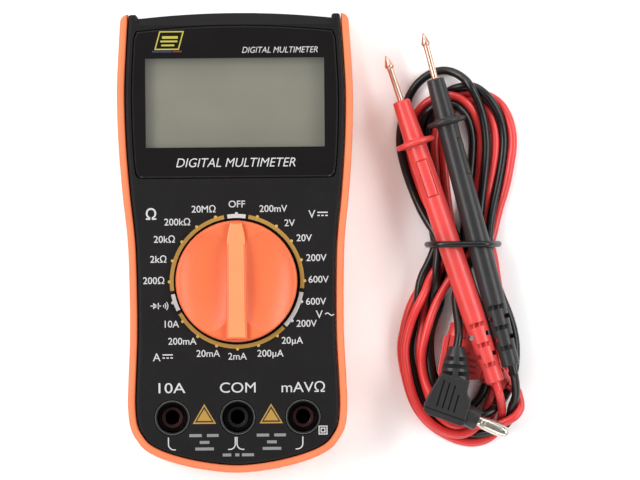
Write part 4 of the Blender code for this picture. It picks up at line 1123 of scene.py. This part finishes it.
def hard_parts():
    """Rods that stand for the probes, the plugs and the tie, as (end, end, radius)."""
    rods = []
    for tip, rear in PROBES.values():
        tip, way = Vector(tip), (Vector(rear) - Vector(tip)).normalized()
        for start, end, radius in (
                (0, 14, 1.35), (14, 26, 3.0), (26.0, 27.8, 5.9), (27.8, 83, 3.4), (83, 101, 2.95)):
            rods.append((tip + way * start, tip + way * end, radius))
    for colour in PLUGS:
        matrix = plug_frame(colour)
        turn = math.radians(PLUGS[colour][5])
        way = Vector((math.cos(turn), math.sin(turn), 0))
        neck = Vector((0, PLUG_LENGTH, 0))
        for low, high, radius in (
                (Vector((-2.6, 1, 0)), Vector((-2.6, 7, 0)), 3.9),
                (Vector((2.6, 1, 0)), Vector((2.6, 7, 0)), 3.9),
                (Vector((0, 5, 0)), neck, 4.0), (neck, neck + relief_way(colour), 2.9),
                (OUTLET, OUTLET + way * COLLAR_LENGTH, COLLAR_RADIUS),
                (OUTLET, OUTLET + way * PIN_END, 2.0)):
            rods.append((matrix @ low, matrix @ high, radius))
    ring = [Vector((x, TIE_Y, z)) for x, z in TIE_ROUTE]
    rods += [(a, b, TIE_RADIUS) for a, b in zip(ring, ring[1:] + ring[:1])]
    return [(np.array(low), np.array(high), radius) for low, high, radius in rods]


def settled(xyz, kept, cord, index, rounds=300):
    """Lets the cords sink and push each other apart until none passes through another."""
    plan, place, count = xyz[:, :2].copy(), xyz.copy(), len(xyz)
    held = np.zeros(count, bool)
    for number in (0, 1):
        mine = np.where(cord == number)[0]
        held[mine[:4]] = held[mine[-4:]] = True
    inner = np.where(cord[:-2] == cord[2:])[0] + 1
    rods = hard_parts()
    for turn in range(rounds):
        if turn % 5 == 0:
            apart = np.linalg.norm(place[:, None] - place[None], axis=2)
            own = (cord[:, None] == cord[None]) & (
                np.abs(index[:, None] - index[None]) < NEIGHBOURS)
            a, b = np.where(np.triu(apart < CORD + 0.8, 1) & ~own)
        if turn < rounds * 0.7:
            place[:, 2] -= np.where(np.isnan(kept), SINK, 0)
        place[:, :2] += (plan - place[:, :2]) * PULL
        push = ((place[inner - 1] + place[inner + 1]) / 2 - place[inner]) * STIFFNESS
        push[held[inner]] = 0
        place[inner] += push
        for _ in range(3):
            gap = place[b] - place[a]
            apart = np.linalg.norm(gap, axis=1)
            depth = np.maximum(CORD + CLEARANCE - apart, 0)
            shove = gap / np.maximum(apart, 1e-6)[:, None] * (depth * 0.4)[:, None]
            total, touching = np.zeros_like(place), np.zeros(count)
            np.add.at(total, a, -shove)
            np.add.at(total, b, shove)
            np.add.at(touching, a, depth > 0)
            np.add.at(touching, b, depth > 0)
            total /= np.maximum(touching, 1)[:, None] ** 0.5
            total[held] = 0
            place += total
            for low, high, radius in rods:
                long = np.linalg.norm(high - low)
                way = (high - low) / long
                at = (place - low) @ way
                off = place - low - way * np.clip(at, 0, long)[:, None]
                apart = np.linalg.norm(off, axis=1)
                reach = radius + CORD_RADIUS
                hit = (apart < reach) & (at > -0.2) & (at < long + 0.2) & ~held
                place[hit] += off[hit] / np.maximum(apart[hit], 1e-6)[:, None] * (
                    reach - apart[hit])[:, None]
            place[:, 2] = np.maximum(place[:, 2], CORD_RADIUS)
    return place


def cords():
    plans = [evenly(colour) for colour in LEADS]
    xy = np.vstack([plan[0] for plan in plans])
    kept = np.concatenate([plan[1] for plan in plans])
    laid = np.concatenate([plan[2] for plan in plans])
    cord = np.repeat(np.arange(len(plans)), [len(plan[0]) for plan in plans])
    index = np.concatenate([np.arange(len(plan[0])) for plan in plans])
    xyz = np.column_stack([xy, laid_heights(xy, kept, laid, cord, index)])
    place = settled(xyz, kept, cord, index)
    for number, colour in enumerate(LEADS):
        route = spline([tuple(p) for p in place[cord == number]], 2)
        curve = bpy.data.curves.new(f"{colour}_cord", "CURVE")
        curve.dimensions = "3D"
        curve.bevel_depth = CORD_RADIUS * MM
        curve.bevel_resolution = 5
        curve.use_fill_caps = True
        line = curve.splines.new("POLY")
        line.points.add(len(route) - 1)
        for point, at in zip(line.points, route):
            point.co = (*metres(at), 1)
        line.use_smooth = True
        obj = bpy.data.objects.new(f"{colour}_cord", curve)
        bpy.context.scene.collection.objects.link(obj)
        curve.materials.append(LOOKS[f"{colour}_cord"])
        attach(obj, "leads")
        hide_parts(*STANDS_FOR[colour])


# ---------------------------------------------------------------- pieces kept from the CAD model

SEAM = 1e-6  # metres between points that are one point
GROOVES, DOOR_GRIP_Y, STAND_GRIP_Y = 0.5, (45.0, 47.0, 49.0, 51.0, 53.0), (-45.5, -43.5, -41.5)
SPRING_WIRE, SPRING_TURNS, BALL_TRAVEL = 0.2, 2.5, 0.6
SHANK_RADIUS, HEAD_HEIGHT, RECESS_TURN = 1.2, 1.6, 20
KEPT = {  # the finish of each CAD piece shown as it is, and how far its edges are rounded
    "rear_cover": ("rear", 0.25), "battery": ("battery", 0.8),
    "tilt_stand": ("rear", 0.4), "battery_snap": ("well", 0.4),
    "battery_wire_black": ("black_cord", 0), "battery_wire_red": ("red_cord", 0),
    "circuit_board": ("board", 0.1), "chip_cover": ("well", 0.4), "buzzer": ("well", 0.4),
    "shunt_wire": ("copper", 0), "fuse_1": ("fuse_glass", 0.3), "fuse_2": ("fuse_glass", 0.3),
    "lcd_frame": ("white_plastic", 0.2), "zebra_strip": ("zebra", 0.2),
    "switch_rotor": ("white_plastic", 0.25),
    **{f"detent_ball_{side}": ("steel", 0) for side in ("left", "right")},
    # The jack sockets take the darkened nickel, painted shade
    **{f"jack_socket_{name}": ("socket", 0.15) for name in ("10a", "com", "volt_ohm")},
    **{f"contact_spring_{n}": ("brass", 0.05) for n in (1, 2, 3)},
    **{f"fuse_clip_{n}_{side}": ("nickel", 0.05) for n in (1, 2) for side in ("left", "right")},
    **{f"board_screw_{n}": ("steel", 0.15) for n in (1, 2)},
}


def kept_pieces():
    for name, (look, edge) in KEPT.items():
        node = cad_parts[name]
        node.data.materials.clear()
        node.data.materials.append(LOOKS[look])
        own_normals = node.data.attributes.get("custom_normal")
        if own_normals:
            node.data.attributes.remove(own_normals)
        node.data.shade_smooth()
        node.modifiers.new("seams", "WELD").merge_threshold = SEAM
        if edge:
            rounding_off = node.modifiers.new("rounded_edges", "BEVEL")
            rounding_off.width = edge * MM
            rounding_off.segments = 2
            rounding_off.limit_method = "ANGLE"
            rounding_off.angle_limit = math.radians(40)
            node.modifiers.new("flat_faces", "WEIGHTED_NORMAL")


def screw(name, node, body):
    """A pan head with a cross recess, on its shank."""
    low, high = (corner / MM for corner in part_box(node))
    x, y = (low.x + high.x) / 2, (low.y + high.y) / 2
    head, shank = (high.x - low.x) / 2, SHANK_RADIUS
    under, face = low.z + HEAD_HEIGHT, low.z
    made = turned(name, [
        (0, high.z), (shank, high.z), (shank, under), (head, under), (head, face + 0.35),
        (head - 0.15, face + 0.12), (head - 0.5, face), (0, face)], Matrix.Translation((x, y, 0)))
    for turn in (0, 90):
        slot = block("recess", (-0.4, -1.5, face - 1), (0.4, 1.5, face + 0.9))
        slot.rotation_euler = (0, 0, math.radians(turn + RECESS_TURN))
        slot.location = metres((x, y, 0))
        carve(made, slot)
    dress(made, "steel", body, [node], 30)


def detent_coil(side):
    """The coil spring under a detent ball."""
    node = f"detent_spring_{side}"
    low, high = (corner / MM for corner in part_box(node))
    middle, wire, height = (low + high) / 2, SPRING_WIRE, high.z - low.z
    radius = (high.x - low.x) / 2 - wire
    count = 60
    path = []
    for step in range(count + 1):
        turn = 2 * math.pi * SPRING_TURNS * step / count
        path.append(Vector((
            middle.x + radius * math.cos(turn), middle.y + radius * math.sin(turn),
            low.z + wire + (height - 2 * wire) * step / count)))
    coil = dress(new_object(f"detent_coil_{side}", swept(path, wire, 12)), "steel", "selector",
                 [node])
    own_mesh(coil)


def back_details():
    for side in ("left", "right"):
        detent_coil(side)
    for n in (1, 2, 3, 4):
        screw(f"case_screw_head_{n}", f"case_screw_{n}", "case")
    screw("door_screw_head", "battery_door_screw", "door")
    door = bpy.data.objects.new("grooved_door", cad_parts["battery_door"].data.copy())
    bpy.context.scene.collection.objects.link(door)
    door.modifiers.new("seams", "WELD").merge_threshold = SEAM
    baked(door)
    carve(door, *[block("groove", (-12, y - 0.45, -1), (12, y + 0.45, GROOVES))
                  for y in DOOR_GRIP_Y])
    soften(door, 0.2)
    dress(door, "rear", "door", ["battery_door"])
    lines = bmesh.new()
    for y in STAND_GRIP_Y:
        add_ridge(lines, (-9, 9), y, 0.35)
    dress(new_object("stand_grip_lines", lines), "rear", "stand")


def add_ridge(shape, ends, y, z):
    """A low rounded ridge across a face that looks down."""
    profile = [(-0.45, 0.5), (-0.4, 0.15), (-0.2, 0.0), (0.2, 0.0), (0.4, 0.15), (0.45, 0.5)]
    add_rings(shape, [[(x, y + dy, z + dz) for dy, dz in profile] for x in ends])


# ---------------------------------------------------------------- stage

def area_light(name, place, aim, size, watts):
    light = bpy.data.lights.new(name, "AREA")
    light.shape = "RECTANGLE"
    light.size, light.size_y = size
    light.energy = watts
    lamp = bpy.data.objects.new(name, light)
    bpy.context.scene.collection.objects.link(lamp)
    lamp.location = place
    lamp.rotation_euler = (Vector(aim) - Vector(place)).to_track_quat("-Z", "Y").to_euler()


LIGHTS = [  # name, place and aim in metres, size, watts
    ("left_box", (-0.8, 0.3, 1.0), (0, 0, 0), (1.2, 0.5), 18),
    ("right_box", (1.0, 0.1, 0.8), (0.02, 0, 0), (1.2, 0.5), 13),
    ("far_box", (0.0, 1.1, 0.7), (0, 0, 0), (1.4, 0.4), 8),
    ("near_box", (0.0, -1.1, 0.6), (0, 0, 0), (1.4, 0.4), 7),
]
SKY, FLOOR_RADIUS, FLOOR_Z = 0.2, 3000, (-6, -0.05)
VIEW_CENTRE, VIEW_WIDTH = (24.4, 0.6), 186.2
VIEW_DISTANCE, VIEW_ROLL, SENSOR = 2500.0, 0.5, 36.0


def stage():
    floor = prism("floor", circle((0, 0), FLOOR_RADIUS, 96), *FLOOR_Z)
    floor.data.materials.append(LOOKS["floor"])
    world = bpy.data.worlds.new("studio")
    bpy.context.scene.world = world
    world.use_nodes = True
    sky = world.node_tree.nodes["Background"].inputs
    sky["Color"].default_value = (1, 1, 1, 1)
    sky["Strength"].default_value = SKY
    for light in LIGHTS:
        area_light(*light)
    camera = bpy.data.cameras.new("camera")
    camera.sensor_width = SENSOR
    camera.lens = SENSOR * VIEW_DISTANCE / VIEW_WIDTH
    camera.clip_end = 20
    holder = bpy.data.objects.new("camera", camera)
    bpy.context.scene.collection.objects.link(holder)
    holder.location = metres((*VIEW_CENTRE, FACE_Z + VIEW_DISTANCE))
    holder.rotation_euler = (0, 0, -math.radians(VIEW_ROLL))
    bpy.context.scene.camera = holder
    bpy.context.scene.view_settings.view_transform = "Standard"


# ---------------------------------------------------------------- build

front_cover()
bumper()
display()
selector()
jacks()
panel_print()
lens_print()
pieces = {colour: [*plug(colour), *probe(colour)] for colour in LEADS}
tie()
cords()
kept_pieces()
back_details()
stage()
